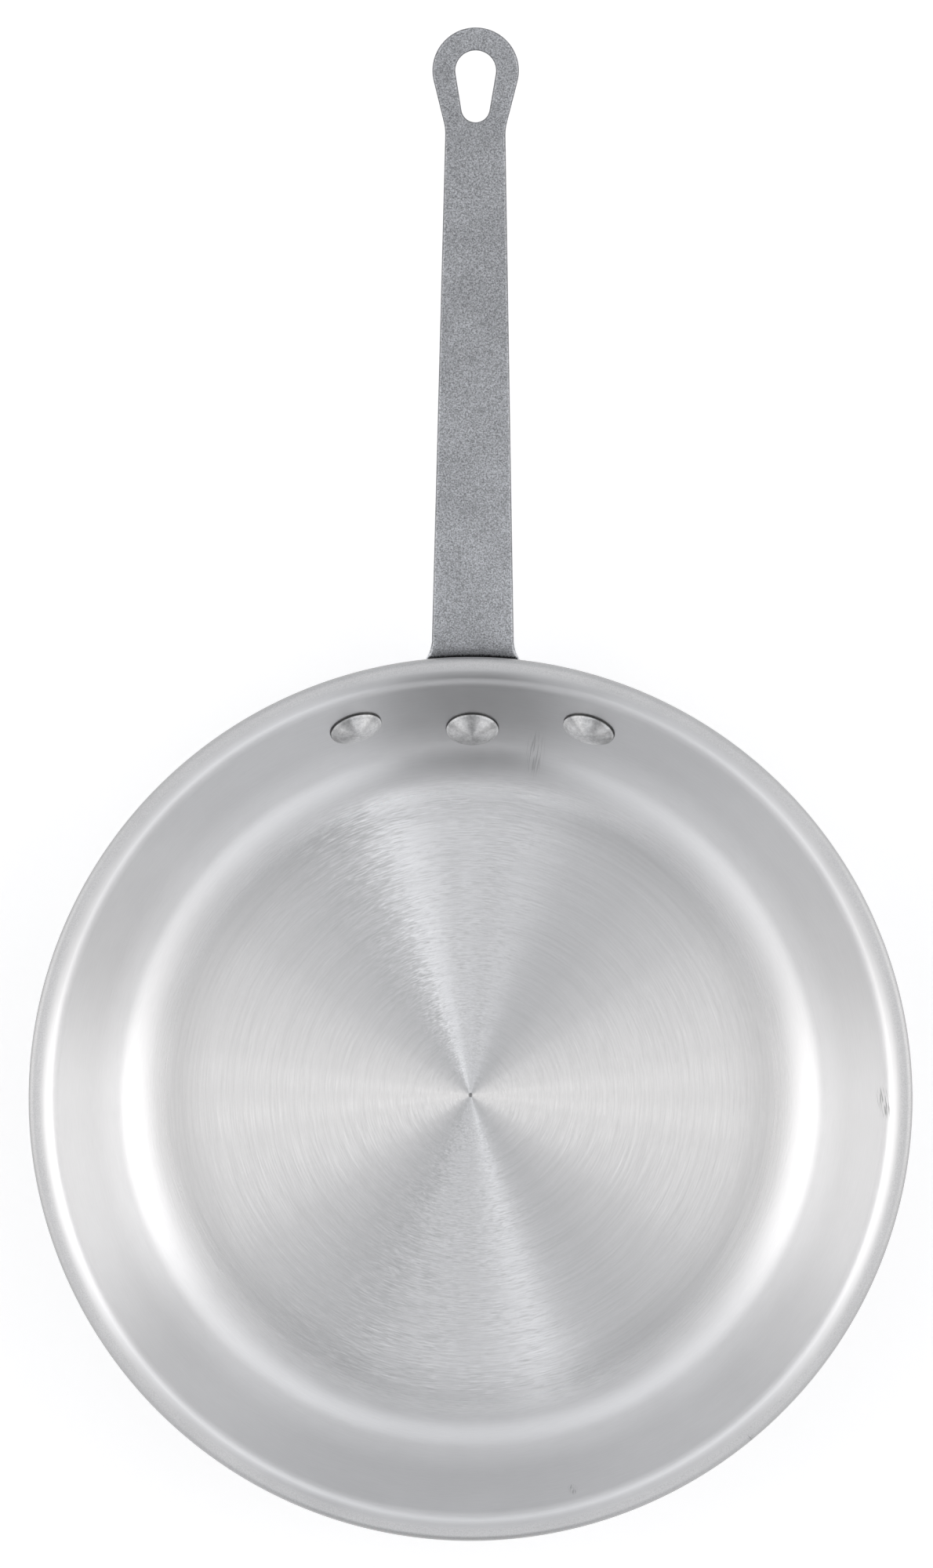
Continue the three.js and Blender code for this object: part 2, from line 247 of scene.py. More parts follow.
@dataclass
class Surface:
    """Points on a grid of two parameters, with a flat coordinate for each point."""

    points: np.ndarray  # rows x columns x 3, millimetres
    flat: np.ndarray  # rows x columns x 2, millimetres or turns
    face_slot: np.ndarray | None = None  # material number of each row of quads

    def faces(self, first: int) -> np.ndarray:
        """Quads of the grid, numbered from the first point on."""
        rows, columns = self.points.shape[:2]
        return grid_faces(rows, columns) + first


def make_piece(name: str, surfaces: list[Surface]) -> bpy.types.Object:
    """Join grids into one smooth closed mesh object at the origin.

    Args:
        name: Name of the object.
        surfaces: The grids. Points that coincide on their borders are welded.

    Returns:
        The new object.
    """
    firsts = np.cumsum([0] + [surface.points.shape[0] * surface.points.shape[1] for surface in surfaces])
    points = np.concatenate([surface.points.reshape(-1, 3) for surface in surfaces]) * MM
    flat = np.concatenate([surface.flat.reshape(-1, 2) for surface in surfaces])
    faces = np.concatenate([surface.faces(first) for surface, first in zip(surfaces, firsts)])
    slots = [
        np.zeros(len(surface.faces(0)), int)
        if surface.face_slot is None
        else np.repeat(surface.face_slot, surface.points.shape[1] - 1)
        for surface in surfaces
    ]

    mesh = bpy.data.meshes.new(name)
    mesh.from_pydata(points.tolist(), [], faces.tolist())
    mesh.uv_layers.new(name=UV_NAME).data.foreach_set("uv", flat[faces.ravel()].ravel())
    mesh.polygons.foreach_set("material_index", np.concatenate(slots))

    work = bmesh.new()
    work.from_mesh(mesh)
    bmesh.ops.remove_doubles(work, verts=work.verts, dist=WELD)
    bmesh.ops.recalc_face_normals(work, faces=work.faces)
    work.to_mesh(mesh)
    work.free()
    mesh.polygons.foreach_set("use_smooth", np.ones(len(mesh.polygons), bool))
    mesh.set_sharp_from_angle(angle=CREASE_ANGLE)

    piece = bpy.data.objects.new(name, mesh)
    bpy.context.scene.collection.objects.link(piece)
    return piece


def revolve(profile: np.ndarray, sides: int) -> Surface:
    """Turn a profile about the Z axis: (radius cos angle, radius sin angle, height).

    The flat coordinates are the share of a turn and the distance along the profile.

    Args:
        profile: Rows of radius and height.
        sides: Number of steps round.

    Returns:
        The surface, with its first and last column in the same place.
    """
    angle = np.linspace(0, 2 * pi, sides + 1)
    radius, height = profile[:, 0, None], profile[:, 1, None]
    points = np.stack(
        np.broadcast_arrays(radius * np.cos(angle), radius * np.sin(angle), height), axis=2
    )
    gone = np.concatenate(([0.0], np.cumsum(np.hypot(*np.diff(profile, axis=0).T))))
    flat = np.stack(np.broadcast_arrays(angle / (2 * pi), gone[:, None] * MM), axis=2)
    return Surface(points, flat)


class NodeSheet:
    """Adds and links the nodes of one node tree."""

    def __init__(self, tree: bpy.types.NodeTree) -> None:
        """Work on a tree."""
        self.tree = tree

    def add(self, kind: str, sockets: dict | None = None, **settings: object) -> bpy.types.Node:
        """Add a node.

        Args:
            kind: Type of the node without its ShaderNode prefix.
            sockets: Input name or number to a plain value or to an output that feeds it.
            settings: Properties of the node.

        Returns:
            The node.
        """
        node = self.tree.nodes.new("ShaderNode" + kind)
        for name, value in settings.items():
            setattr(node, name, value)
        for key, value in (sockets or {}).items():
            self.feed(node.inputs[key], value)
        return node

    def feed(self, socket: Socket, value: object) -> None:
        """Link an output to a socket, or set the socket to a plain value."""
        if isinstance(value, Socket):
            self.tree.links.new(value, socket)
        else:
            socket.default_value = value

    def math(self, operation: str, *values: object) -> Socket:
        """Output of a Math node with these values."""
        return self.add("Math", dict(enumerate(values)), operation=operation).outputs[0]

    def product(self, *values: object) -> Socket:
        """All these values multiplied."""
        result = values[0]
        for value in values[1:]:
            result = self.math("MULTIPLY", result, value)
        return result

    def vector(self, operation: str, *values: object) -> Socket:
        """Vector output of a Vector Math node with these values."""
        return self.add("VectorMath", dict(enumerate(values)), operation=operation).outputs["Vector"]

    def measure(self, operation: str, *values: object) -> Socket:
        """Number output of a Vector Math node with these values."""
        return self.add("VectorMath", dict(enumerate(values)), operation=operation).outputs["Value"]

    def part(self, vector: Socket, axis: str) -> Socket:
        """One coordinate of a vector."""
        return self.add("SeparateXYZ", {0: vector}).outputs[axis]

    def scaled(self, vector: Socket, factor: object) -> Socket:
        """A vector times a number."""
        node = self.add("VectorMath", {"Vector": vector, "Scale": factor}, operation="SCALE")
        return node.outputs["Vector"]

    def fade(
        self, value: Socket, low: object, high: object, to_low: float = 0.0, to_high: float = 1.0
    ) -> Socket:
        """Smooth step of a value.

        Args:
            value: What is followed.
            low: Value at which the step begins.
            high: Value at which it ends.
            to_low: Result below low.
            to_high: Result above high.

        Returns:
            The result's output.
        """
        sockets = {"Value": value, "From Min": low, "From Max": high, "To Min": to_low, "To Max": to_high}
        node = self.add("MapRange", sockets, interpolation_type="SMOOTHSTEP")
        return node.outputs["Result"]

    def spread(self, value: Socket, to_low: object, to_high: object) -> Socket:
        """Straight map of a value from 0 to 1 onto another range."""
        return self.add("MapRange", {"Value": value, "To Min": to_low, "To Max": to_high}).outputs["Result"]

    def swing(self, value: Socket, reach: object) -> Socket:
        """A value from 0 to 1 moved to swing about 0, by half the reach to either side."""
        return self.math("MULTIPLY", self.math("SUBTRACT", value, 0.5), reach)

    def without(self, share: Socket) -> Socket:
        """Factor that takes a share away: 1 minus the share."""
        return self.math("SUBTRACT", 1.0, share)

    def blend(self, factor: object, first: object, second: object, mode: str = "MIX") -> Socket:
        """Mix of two colours.

        Args:
            factor: How much of the second goes in.
            first: First colour.
            second: Second colour.
            mode: How they are mixed.

        Returns:
            The mixed colour.
        """
        node = self.add("Mix", data_type="RGBA", blend_type=mode)
        inputs = [socket for socket in node.inputs if socket.enabled]
        for socket, value in zip(inputs, (factor, first, second)):
            self.feed(socket, value)
        return next(socket for socket in node.outputs if socket.enabled)

    def shaded(self, colour: Colour, factor: Socket) -> Socket:
        """A colour times a grey factor."""
        grey = self.add("CombineColor", {0: factor, 1: factor, 2: factor}).outputs[0]
        return self.blend(1.0, colour, grey, "MULTIPLY")

    def noise(self, place: Socket, detail: float, roughness: float = 0.5, seed: object = None) -> Socket:
        """Smooth noise with features about one unit wide.

        Args:
            place: Coordinates, in units.
            detail: Number of finer layers.
            roughness: Strength of the finer layers.
            seed: Which of many patterns, or None for the plain one.

        Returns:
            The noise, from 0 to 1.
        """
        sockets = {"Vector": place, "Scale": 1.0, "Detail": detail, "Roughness": roughness}
        if seed is None:
            return self.add("TexNoise", sockets).outputs[0]
        return self.add("TexNoise", sockets | {"W": seed}, noise_dimensions="4D").outputs[0]

    def bump(self, height: Socket, strength: float, distance: float) -> Socket:
        """Normal of a bumpy surface."""
        return self.add("Bump", {"Height": height, "Strength": strength, "Distance": distance}).outputs[0]

    def object_place(self) -> Socket:
        """Object coordinates, in metres."""
        return self.add("TexCoord").outputs["Object"]

    def place_in(self, unit: Socket) -> Socket:
        """Object coordinates, counted in a unit that is given in metres."""
        return self.scaled(self.object_place(), self.math("DIVIDE", 1.0, unit))

    def profile_distance(self) -> Socket:
        """Distance along the profile that was revolved, in metres."""
        return self.part(self.add("UVMap", uv_map=UV_NAME).outputs[0], "Y")

    def radius(self) -> Socket:
        """Distance from the Z axis, in metres."""
        return self.measure("LENGTH", self.vector("MULTIPLY", self.object_place(), (1.0, 1.0, 0.0)))

    def round_the_axis(self) -> Socket:
        """Unit vector that runs round the Z axis."""
        return self.vector("NORMALIZE", self.vector("CROSS_PRODUCT", (0.0, 0.0, 1.0), self.object_place()))

    def group(self, tree: bpy.types.NodeTree, sockets: dict) -> bpy.types.Node:
        """Node of a group with its own values."""
        return self.add("Group", sockets, node_tree=tree)

    def metal(self, colour: Colour, shade: Socket, roughness: object, more: dict) -> Socket:
        """Bare metal.

        Args:
            colour: Its colour.
            shade: Grey factor for the colour.
            roughness: Its roughness.
            more: Further inputs of the shader, by name.

        Returns:
            The shader's output.
        """
        sockets = {"Base Color": self.shaded(colour, shade), "Metallic": 1.0, "Roughness": roughness}
        return self.add("BsdfPrincipled", sockets | more).outputs[0]

    @staticmethod
    def brushed(anisotropy: float, tangent: Socket) -> dict:
        """Shader inputs of metal that is brushed along a direction."""
        return {"Anisotropic": anisotropy, "Anisotropic Rotation": ACROSS_TANGENT, "Tangent": tangent}


class EffectKit:
    """Node groups of the surface effects that several finishes share, each built once."""

    def start(
        self, name: str, inputs: dict[str, float], outputs: dict[str, str]
    ) -> tuple[NodeSheet, dict, dict]:
        """Make an empty group.

        Args:
            name: Name of the group.
            inputs: Name and usual value of each number that goes in.
            outputs: Name and socket type of each result.

        Returns:
            The sheet to draw on, the outputs that carry the inputs, and the sockets that take the results.
        """
        tree = bpy.data.node_groups.new(name, "ShaderNodeTree")
        for key, value in inputs.items():
            socket = tree.interface.new_socket(key, in_out="INPUT", socket_type="NodeSocketFloat")
            socket.default_value = value
        for key, kind in outputs.items():
            tree.interface.new_socket(key, in_out="OUTPUT", socket_type=kind)
        entry = tree.nodes.new("NodeGroupInput")
        leave = tree.nodes.new("NodeGroupOutput")
        given = {key: entry.outputs[key] for key in inputs}
        results = {key: leave.inputs[key] for key in outputs}
        return NodeSheet(tree), given, results

    @cached_property
    def turning(self) -> bpy.types.NodeTree:
        """Marks of a turning tool: noise that is long round the axis and short along the profile.

        Lines is the pattern from 0 to 1. Normal leans by Lean to either side along each line, so that a
        highlight's edge breaks up into arcs, and tilts by Tilt across finer lines, as the flanks of real
        turning marks do, so that a highlight is drawn out towards the axis. Slant is the share of Tilt by
        which all flanks face the axis.
        """
        inputs = {"Pitch": 0.0006, "Arcs": 5.0, "Lean": 0.0, "Tilt": 0.0, "Slant": 0.0, "Seed": 0.0}
        outputs = {"Lines": "NodeSocketFloat", "Normal": "NodeSocketVector"}
        sheet, given, results = self.start("turning_marks", inputs, outputs)
        ring = sheet.math("DIVIDE", sheet.profile_distance(), given["Pitch"])
        round_axis = sheet.round_the_axis()
        arcs = sheet.add("SeparateXYZ", {0: sheet.scaled(round_axis, given["Arcs"])}).outputs
        place = sheet.add("CombineXYZ", {0: arcs[0], 1: arcs[1], 2: ring}).outputs[0]
        lines = sheet.noise(place, 2.0, 0.6, given["Seed"])
        sheet.feed(results["Lines"], lines)
        lean = sheet.scaled(round_axis, sheet.product(sheet.swing(lines, 2.0), given["Lean"]))

        fine = sheet.vector("MULTIPLY", place, (0.25, 0.25, 13.0))
        flank = sheet.swing(sheet.noise(fine, 0.0, seed=given["Seed"]), 2.0)
        flank = sheet.math("SUBTRACT", flank, given["Slant"])
        normal = sheet.add("NewGeometry").outputs["Normal"]
        across = sheet.vector("CROSS_PRODUCT", round_axis, normal)
        tilt = sheet.scaled(across, sheet.product(flank, given["Tilt"]))
        leaning = sheet.vector("ADD", sheet.vector("ADD", normal, lean), tilt)
        sheet.feed(results["Normal"], sheet.vector("NORMALIZE", leaning))
        return sheet.tree

    @cached_property
    def clouds(self) -> bpy.types.NodeTree:
        """Soft patches, from 0 to 1, of a given size in metres."""
        sheet, given, results = self.start(
            "soft_patches", {"Size": 0.02, "Seed": 0.0}, {"Patches": "NodeSocketFloat"}
        )
        patches = sheet.noise(sheet.place_in(given["Size"]), 3.0, 0.55, given["Seed"])
        sheet.feed(results["Patches"], sheet.fade(patches, 0.3, 0.7))
        return sheet.tree

    @cached_property
    def grain(self) -> bpy.types.NodeTree:
        """Even fine grain, from 0 to 1, with grains of a given size in metres."""
        sheet, given, results = self.start("fine_grain", {"Size": 0.0005}, {"Grain": "NodeSocketFloat"})
        grain = sheet.noise(sheet.place_in(given["Size"]), 2.0, 0.7)
        sheet.feed(results["Grain"], sheet.fade(grain, 0.25, 0.75))
        return sheet.tree

    @cached_property
    def specks(self) -> bpy.types.NodeTree:
        """Few small specks: round dots in those cells of a cell pattern whose random number is low.

        Spacing is the size of a cell and Size the radius of a dot, both in metres. Share is the part of the
        cells that has a dot. Specks is 1 inside a dot and 0 elsewhere.
        """
        inputs = {"Spacing": 0.01, "Size": 0.0003, "Share": 0.2}
        sheet, given, results = self.start("specks", inputs, {"Specks": "NodeSocketFloat"})
        cells = sheet.add("TexVoronoi", {"Vector": sheet.place_in(given["Spacing"]), "Scale": 1.0})
        edge = sheet.math("DIVIDE", given["Size"], given["Spacing"])
        dot = sheet.fade(cells.outputs["Distance"], edge, sheet.math("MULTIPLY", edge, 0.4))
        draw = sheet.add("SeparateColor", {0: cells.outputs["Color"]}).outputs[0]
        chosen = sheet.math("LESS_THAN", draw, given["Share"])
        sheet.feed(results["Specks"], sheet.math("MULTIPLY", dot, chosen))
        return sheet.tree


EFFECTS = EffectKit()


def new_material(name: str) -> tuple[bpy.types.Material, NodeSheet, Socket]:
    """Make an empty node material.

    Args:
        name: Name of the material.

    Returns:
        The material, the sheet to draw on, and the socket that takes the surface.
    """
    material = bpy.data.materials.new(name)
    material.use_nodes = True
    material.node_tree.nodes.clear()
    sheet = NodeSheet(material.node_tree)
    return material, sheet, sheet.add("OutputMaterial").inputs["Surface"]


@dataclass(frozen=True)
class Scuff:
    """A small oval patch of fine scratches, seen from above, lengths in metres."""

    x: float
    y: float
    half_width: float
    half_length: float  # along the scratches
    turn: float  # degrees, from +Y against the clock
    depth: float  # how much darker a scratch is

    def shade(self, sheet: NodeSheet) -> Socket:
        """Factor for a base colour.

        Args:
            sheet: The sheet to draw on.

        Returns:
            The factor, 1 outside the patch.
        """
        flat = sheet.vector("MULTIPLY", sheet.object_place(), (1.0, 1.0, 0.0))
        within = sheet.add("Mapping", {
            "Vector": flat,
            "Location": (self.x, self.y, 0.0),
            "Rotation": (0.0, 0.0, radians(self.turn)),
            "Scale": (self.half_width, self.half_length, 1.0),
        }, vector_type="TEXTURE").outputs[0]
        inside = sheet.fade(sheet.measure("LENGTH", within), 0.4, 1.0, 1.0, 0.0)
        fine = sheet.vector("MULTIPLY", within, (7.0, 1.2, 1.0))
        scratches = sheet.fade(sheet.noise(fine, 1.0), 0.5, 0.62)
        return sheet.without(sheet.product(inside, scratches, self.depth))


@dataclass(frozen=True)
class CookingSideFinish:
    """Bare aluminium: a turned floor that fades into a satin wall, and a scuffed lip.

    A span named for a place is a pair of distances from the axis, in metres, between which the finish
    changes. A span named for ends runs from 0, to left and right, to 1, along the handle's line.
    """

    floor_colour: Colour = (0.95, 0.95, 0.952, 1.0)
    floor_roughness: float = 0.22
    floor_anisotropy: float = 1.0
    floor_lean: float = 0.018  # how far the turning marks lean along themselves, to left and right
    floor_lean_ends: float = 0.036  # along the handle's line
    lean_ends: Span = (0.6, 0.95)
    floor_tilt: float = 0.5  # how far the flanks of the turning marks tilt
    floor_edge_tilt: float = 0.25  # at the edge of the floor
    tilt_edge: Span = (0.072, 0.087)
    floor_slant: float = 0.12
    mark_depth: float = 0.1  # contrast of the turning marks to left and right
    mark_depth_ends: float = 0.55  # along the handle's line: painted light, as the light rakes across them there
    depth_ends: Span = (0.78, 0.98)
    mark_wear: Span = (0.5, 1.4)  # factor for that contrast, from patch to patch
    long_mark_shade: Span = (0.91, 1.09)
    scratch_lines: Span = (0.64, 0.72)  # strongest of the long marks
    scratch_shade: float = 0.94
    # painted shade: the floor darker towards the corner
    painted_shade_floor_edge: Span = (0.078, 0.09)
    floor_edge_painted_shade: float = 0.9
    # painted shade in the centre dimple
    centre_mark: Span = (0.0004, 0.0008)
    centre_mark_painted_shade: float = 0.35
    speck_shade: float = 0.25
    turned_to: float = 0.0925  # metres from the axis
    fade_width: float = 0.009
    wall_colour: Colour = (0.915, 0.915, 0.917, 1.0)
    wall_roughness: float = 0.31
    wall_anisotropy: float = 0.3
    patch_shade: Span = (0.955, 1.0)
    patch_roughness: float = 0.04  # difference between patches
    ring_depth: float = 0.1  # contrast of the wall's rings
    upper_wall: Span = (0.105, 0.113)
    upper_wall_end: Span = (0.1213, 0.1225)
    upper_wall_shade: float = 0.88
    brim_start: Span = (0.1252, 0.1272)
    brim_roughness: float = 0.46
    brim_shade: float = 0.92
    brim_grain: float = 0.16  # contrast of its grain
    # painted shade on the brim's round outer edge
    outer_edge: Span = (0.1282, 0.1298)
    outer_edge_painted_shade: float = 0.6
    scuffs: tuple[Scuff, ...] = (
        Scuff(0.0185, 0.1015, 0.0035, 0.0085, -8, 0.22),
        Scuff(0.1217, -0.0008, 0.0024, 0.0062, 8, 0.5),
        Scuff(0.0836, -0.0996, 0.0012, 0.003, 50, 0.4),
        Scuff(0.0306, -0.1152, 0.0018, 0.0018, 0, 0.35),
    )

    def material(self) -> bpy.types.Material:
        """Build the material: floor and wall are two shaders, mixed by the distance from the axis.

        Returns:
            The material.
        """
        material, sheet, surface = new_material("cooking_side")
        radius = sheet.radius()
        tangent = sheet.round_the_axis()
        towards_ends = sheet.math("ABSOLUTE", sheet.part(tangent, "X"))
        marks = sheet.group(EFFECTS.turning, {
            "Pitch": 0.0004,
            "Arcs": 20.0,
            "Lean": sheet.fade(towards_ends, *self.lean_ends, self.floor_lean, self.floor_lean_ends),
            "Tilt": sheet.fade(radius, *self.tilt_edge, self.floor_tilt, self.floor_edge_tilt),
            "Slant": self.floor_slant,
            "Seed": 1.0,
        })
        lines = marks.outputs["Lines"]
        specks = sheet.group(EFFECTS.specks, {"Spacing": 0.016, "Size": 0.0003, "Share": 0.16})
        unmarked = sheet.spread(specks.outputs["Specks"], 1.0, self.speck_shade)
        patches = sheet.group(EFFECTS.clouds, {"Size": 0.03, "Seed": 2.0}).outputs["Patches"]
        brim = sheet.fade(radius, *self.brim_start)

        floor_shade = sheet.product(self.floor_shade(sheet, radius, towards_ends, lines), unmarked)
        floor_more = sheet.brushed(self.floor_anisotropy, tangent) | {"Normal": marks.outputs["Normal"]}
        floor = sheet.metal(self.floor_colour, floor_shade, self.floor_roughness, floor_more)

        wall_shade = sheet.product(self.wall_shade(sheet, radius, brim, patches, lines), unmarked)
        wall_roughness = sheet.math(
            "ADD",
            sheet.spread(brim, self.wall_roughness, self.brim_roughness),
            sheet.swing(patches, self.patch_roughness),
        )
        wall_more = sheet.brushed(self.wall_anisotropy, tangent)
        wall = sheet.metal(self.wall_colour, wall_shade, wall_roughness, wall_more)

        half = self.fade_width / 2
        turned_end = sheet.math("ADD", radius, sheet.swing(lines, half / 2))
        is_wall = sheet.fade(turned_end, self.turned_to - half, self.turned_to + half)
        sheet.feed(surface, sheet.add("MixShader", {0: is_wall, 1: floor, 2: wall}).outputs[0])
        return material

    def floor_shade(self, sheet: NodeSheet, radius: Socket, towards_ends: Socket, lines: Socket) -> Socket:
        """Factor for the floor's colour, with painted shade towards the corner and in the centre dimple, and
        turning marks that show more where the light rakes across them, which is painted light.

        Args:
            sheet: The sheet to draw on.
            radius: Distance from the axis.
            towards_ends: 0 to left and right of the axis, 1 along the handle's line.
            lines: Pattern of the fine turning marks.

        Returns:
            The factor.
        """
        long_turning = sheet.group(EFFECTS.turning, {"Pitch": 0.0009, "Arcs": 2.0, "Seed": 7.0})
        long_marks = long_turning.outputs["Lines"]
        worn = sheet.group(EFFECTS.clouds, {"Size": 0.008, "Seed": 6.0}).outputs["Patches"]
        depth = sheet.product(
            sheet.fade(towards_ends, *self.depth_ends, self.mark_depth, self.mark_depth_ends),
            sheet.spread(worn, *self.mark_wear),
        )
        return sheet.product(
            sheet.math("ADD", sheet.spread(long_marks, *self.long_mark_shade), sheet.swing(lines, depth)),
            sheet.fade(long_marks, *self.scratch_lines, 1.0, self.scratch_shade),
            # painted shade towards the corner
            sheet.fade(radius, *self.painted_shade_floor_edge, 1.0, self.floor_edge_painted_shade),
            # painted shade in the centre dimple
            sheet.fade(radius, *self.centre_mark, self.centre_mark_painted_shade, 1.0),
        )

    def wall_shade(
        self, sheet: NodeSheet, radius: Socket, brim: Socket, patches: Socket, lines: Socket
    ) -> Socket:
        """Factor for the colour of wall and lip, with painted shade on the brim's round outer edge.

        Args:
            sheet: The sheet to draw on.
            radius: Distance from the axis.
            brim: 1 on the brim and 0 inside it.
            patches: Soft patches.
            lines: Pattern of the fine turning marks.

        Returns:
            The factor.
        """
        grain = sheet.group(EFFECTS.grain, {"Size": 0.0004}).outputs["Grain"]
        brim_grain = sheet.swing(grain, sheet.spread(brim, 0.0, self.brim_grain))
        rings = sheet.swing(lines, self.ring_depth)
        satin = sheet.math("ADD", sheet.spread(patches, *self.patch_shade), rings)
        upper_wall = sheet.product(
            sheet.fade(radius, *self.upper_wall),
            sheet.fade(radius, *self.upper_wall_end, 1.0, 0.0),
        )
        return sheet.product(
            sheet.math("ADD", satin, brim_grain),
            sheet.spread(upper_wall, 1.0, self.upper_wall_shade),
            sheet.spread(brim, 1.0, self.brim_shade),
            # painted shade on the brim's round outer edge
            sheet.fade(radius, *self.outer_edge, 1.0, self.outer_edge_painted_shade),
            *[scuff.shade(sheet) for scuff in self.scuffs],
        )


@dataclass(frozen=True)
class OuterSideFinish:
    """Spun aluminium of the outside: satin with faint rings."""

    colour: Colour = (0.68, 0.685, 0.69, 1.0)
    roughness: Span = (0.38, 0.47)  # from patch to patch
    anisotropy: float = 0.5
    ring_shade: Span = (0.86, 1.1)
    patch_shade: Span = (0.95, 1.0)
    speck_shade: float = 0.6

    def material(self) -> bpy.types.Material:
        """Build the material.

        Returns:
            The material.
        """
        material, sheet, surface = new_material("outer_side")
        marks = sheet.group(EFFECTS.turning, {"Pitch": 0.0009, "Arcs": 3.0, "Lean": 0.03, "Seed": 4.0})
        patches = sheet.group(EFFECTS.clouds, {"Size": 0.035, "Seed": 5.0}).outputs["Patches"]
        specks = sheet.group(EFFECTS.specks, {"Spacing": 0.014, "Size": 0.0004, "Share": 0.15})
        shade = sheet.product(
            sheet.spread(marks.outputs["Lines"], *self.ring_shade),
            sheet.spread(patches, *self.patch_shade),
            sheet.spread(specks.outputs["Specks"], 1.0, self.speck_shade),
        )
        more = sheet.brushed(self.anisotropy, sheet.round_the_axis()) | {"Normal": marks.outputs["Normal"]}
        sheet.feed(surface, sheet.metal(self.colour, shade, sheet.spread(patches, *self.roughness), more))
        return material


@dataclass(frozen=True)
class TumbledSteelFinish:
    """Plated steel of the handle, dulled and speckled by tumbling. Places are in metres."""

    colour: Colour = (0.49, 0.5, 0.52, 1.0)
    roughness: Span = (0.6, 0.44)  # from the dark grains to the bright ones
    grain_shade: Span = (0.48, 1.5)
    patch_shade: Span = (0.92, 1.06)
    root_gain: float = 1.2  # brighter by this near the pan
    root_gain_fades: Span = (0.13, 0.24)  # along the handle
    lip_radius: float = 0.1297  # in the corner under the lip the strap's top gets painted shadow
    ragged: float = 0.0008  # how far the grain frays that shadow
    cut_edge_depth: float = 0.55  # how much darker the cut edges are

    def material(self) -> bpy.types.Material:
        """Build the material.

        Returns:
            The material.
        """
        material, sheet, surface = new_material("tumbled_steel")
        grain = sheet.group(EFFECTS.grain, {"Size": 0.00045}).outputs["Grain"]
        patches = sheet.group(EFFECTS.clouds, {"Size": 0.012, "Seed": 9.0}).outputs["Patches"]
        along = sheet.part(sheet.object_place(), "Y")
        upward = sheet.part(sheet.add("NewGeometry").outputs["Normal"], "Z")
        shade = sheet.product(
            sheet.spread(grain, *self.grain_shade),
            sheet.spread(patches, *self.patch_shade),
            sheet.fade(along, *self.root_gain_fades, self.root_gain, 1.0),
            sheet.without(self.lip_shadow(sheet, grain, upward)),
            sheet.without(self.cut_edges(sheet, upward)),
        )
        more = {"Normal": sheet.bump(grain, 0.25, 0.0001)}
        sheet.feed(surface, sheet.metal(self.colour, shade, sheet.spread(grain, *self.roughness), more))
        return material

    def lip_shadow(self, sheet: NodeSheet, grain: Socket, upward: Socket) -> Socket:
        """Painted shadow on the strap's top, in the corner under the lip: a dark line that is part grime and
        part painted shadow, and a soft painted shadow.

        Args:
            sheet: The sheet to draw on.
            grain: Fine grain, which frays the line.
            upward: Upward part of the normal.

        Returns:
            How much darker the steel is.
        """
        radius = sheet.math("ADD", sheet.radius(), sheet.math("MULTIPLY", grain, -self.ragged))
        under_lip = sheet.fade(radius, self.lip_radius - 0.003, self.lip_radius - 0.0015)
        # painted shadow: a dark line of grime and shadow just beyond the lip, then a soft painted shadow
        # further out
        line = sheet.fade(radius, self.lip_radius + 0.0003, self.lip_radius + 0.001, 0.94, 0.0)
        painted_soft_shadow = sheet.fade(radius, self.lip_radius, self.lip_radius + 0.004, 0.3, 0.0)
        return sheet.product(sheet.math("MAXIMUM", line, painted_soft_shadow), under_lip, sheet.fade(upward, 0.3, 0.7))

    def cut_edges(self, sheet: NodeSheet, upward: Socket) -> Socket:
        """Darker steel on the cut edges, where the surface is upright, beyond the lip.

        Args:
            sheet: The sheet to draw on.
            upward: Upward part of the normal.

        Returns:
            How much darker the steel is.
        """
        upright = sheet.fade(sheet.math("ABSOLUTE", upward), 0.4, 0.9, self.cut_edge_depth, 0.0)
        beyond_lip = sheet.fade(sheet.radius(), self.lip_radius + 0.0015, self.lip_radius + 0.0045)
        return sheet.product(upright, beyond_lip)


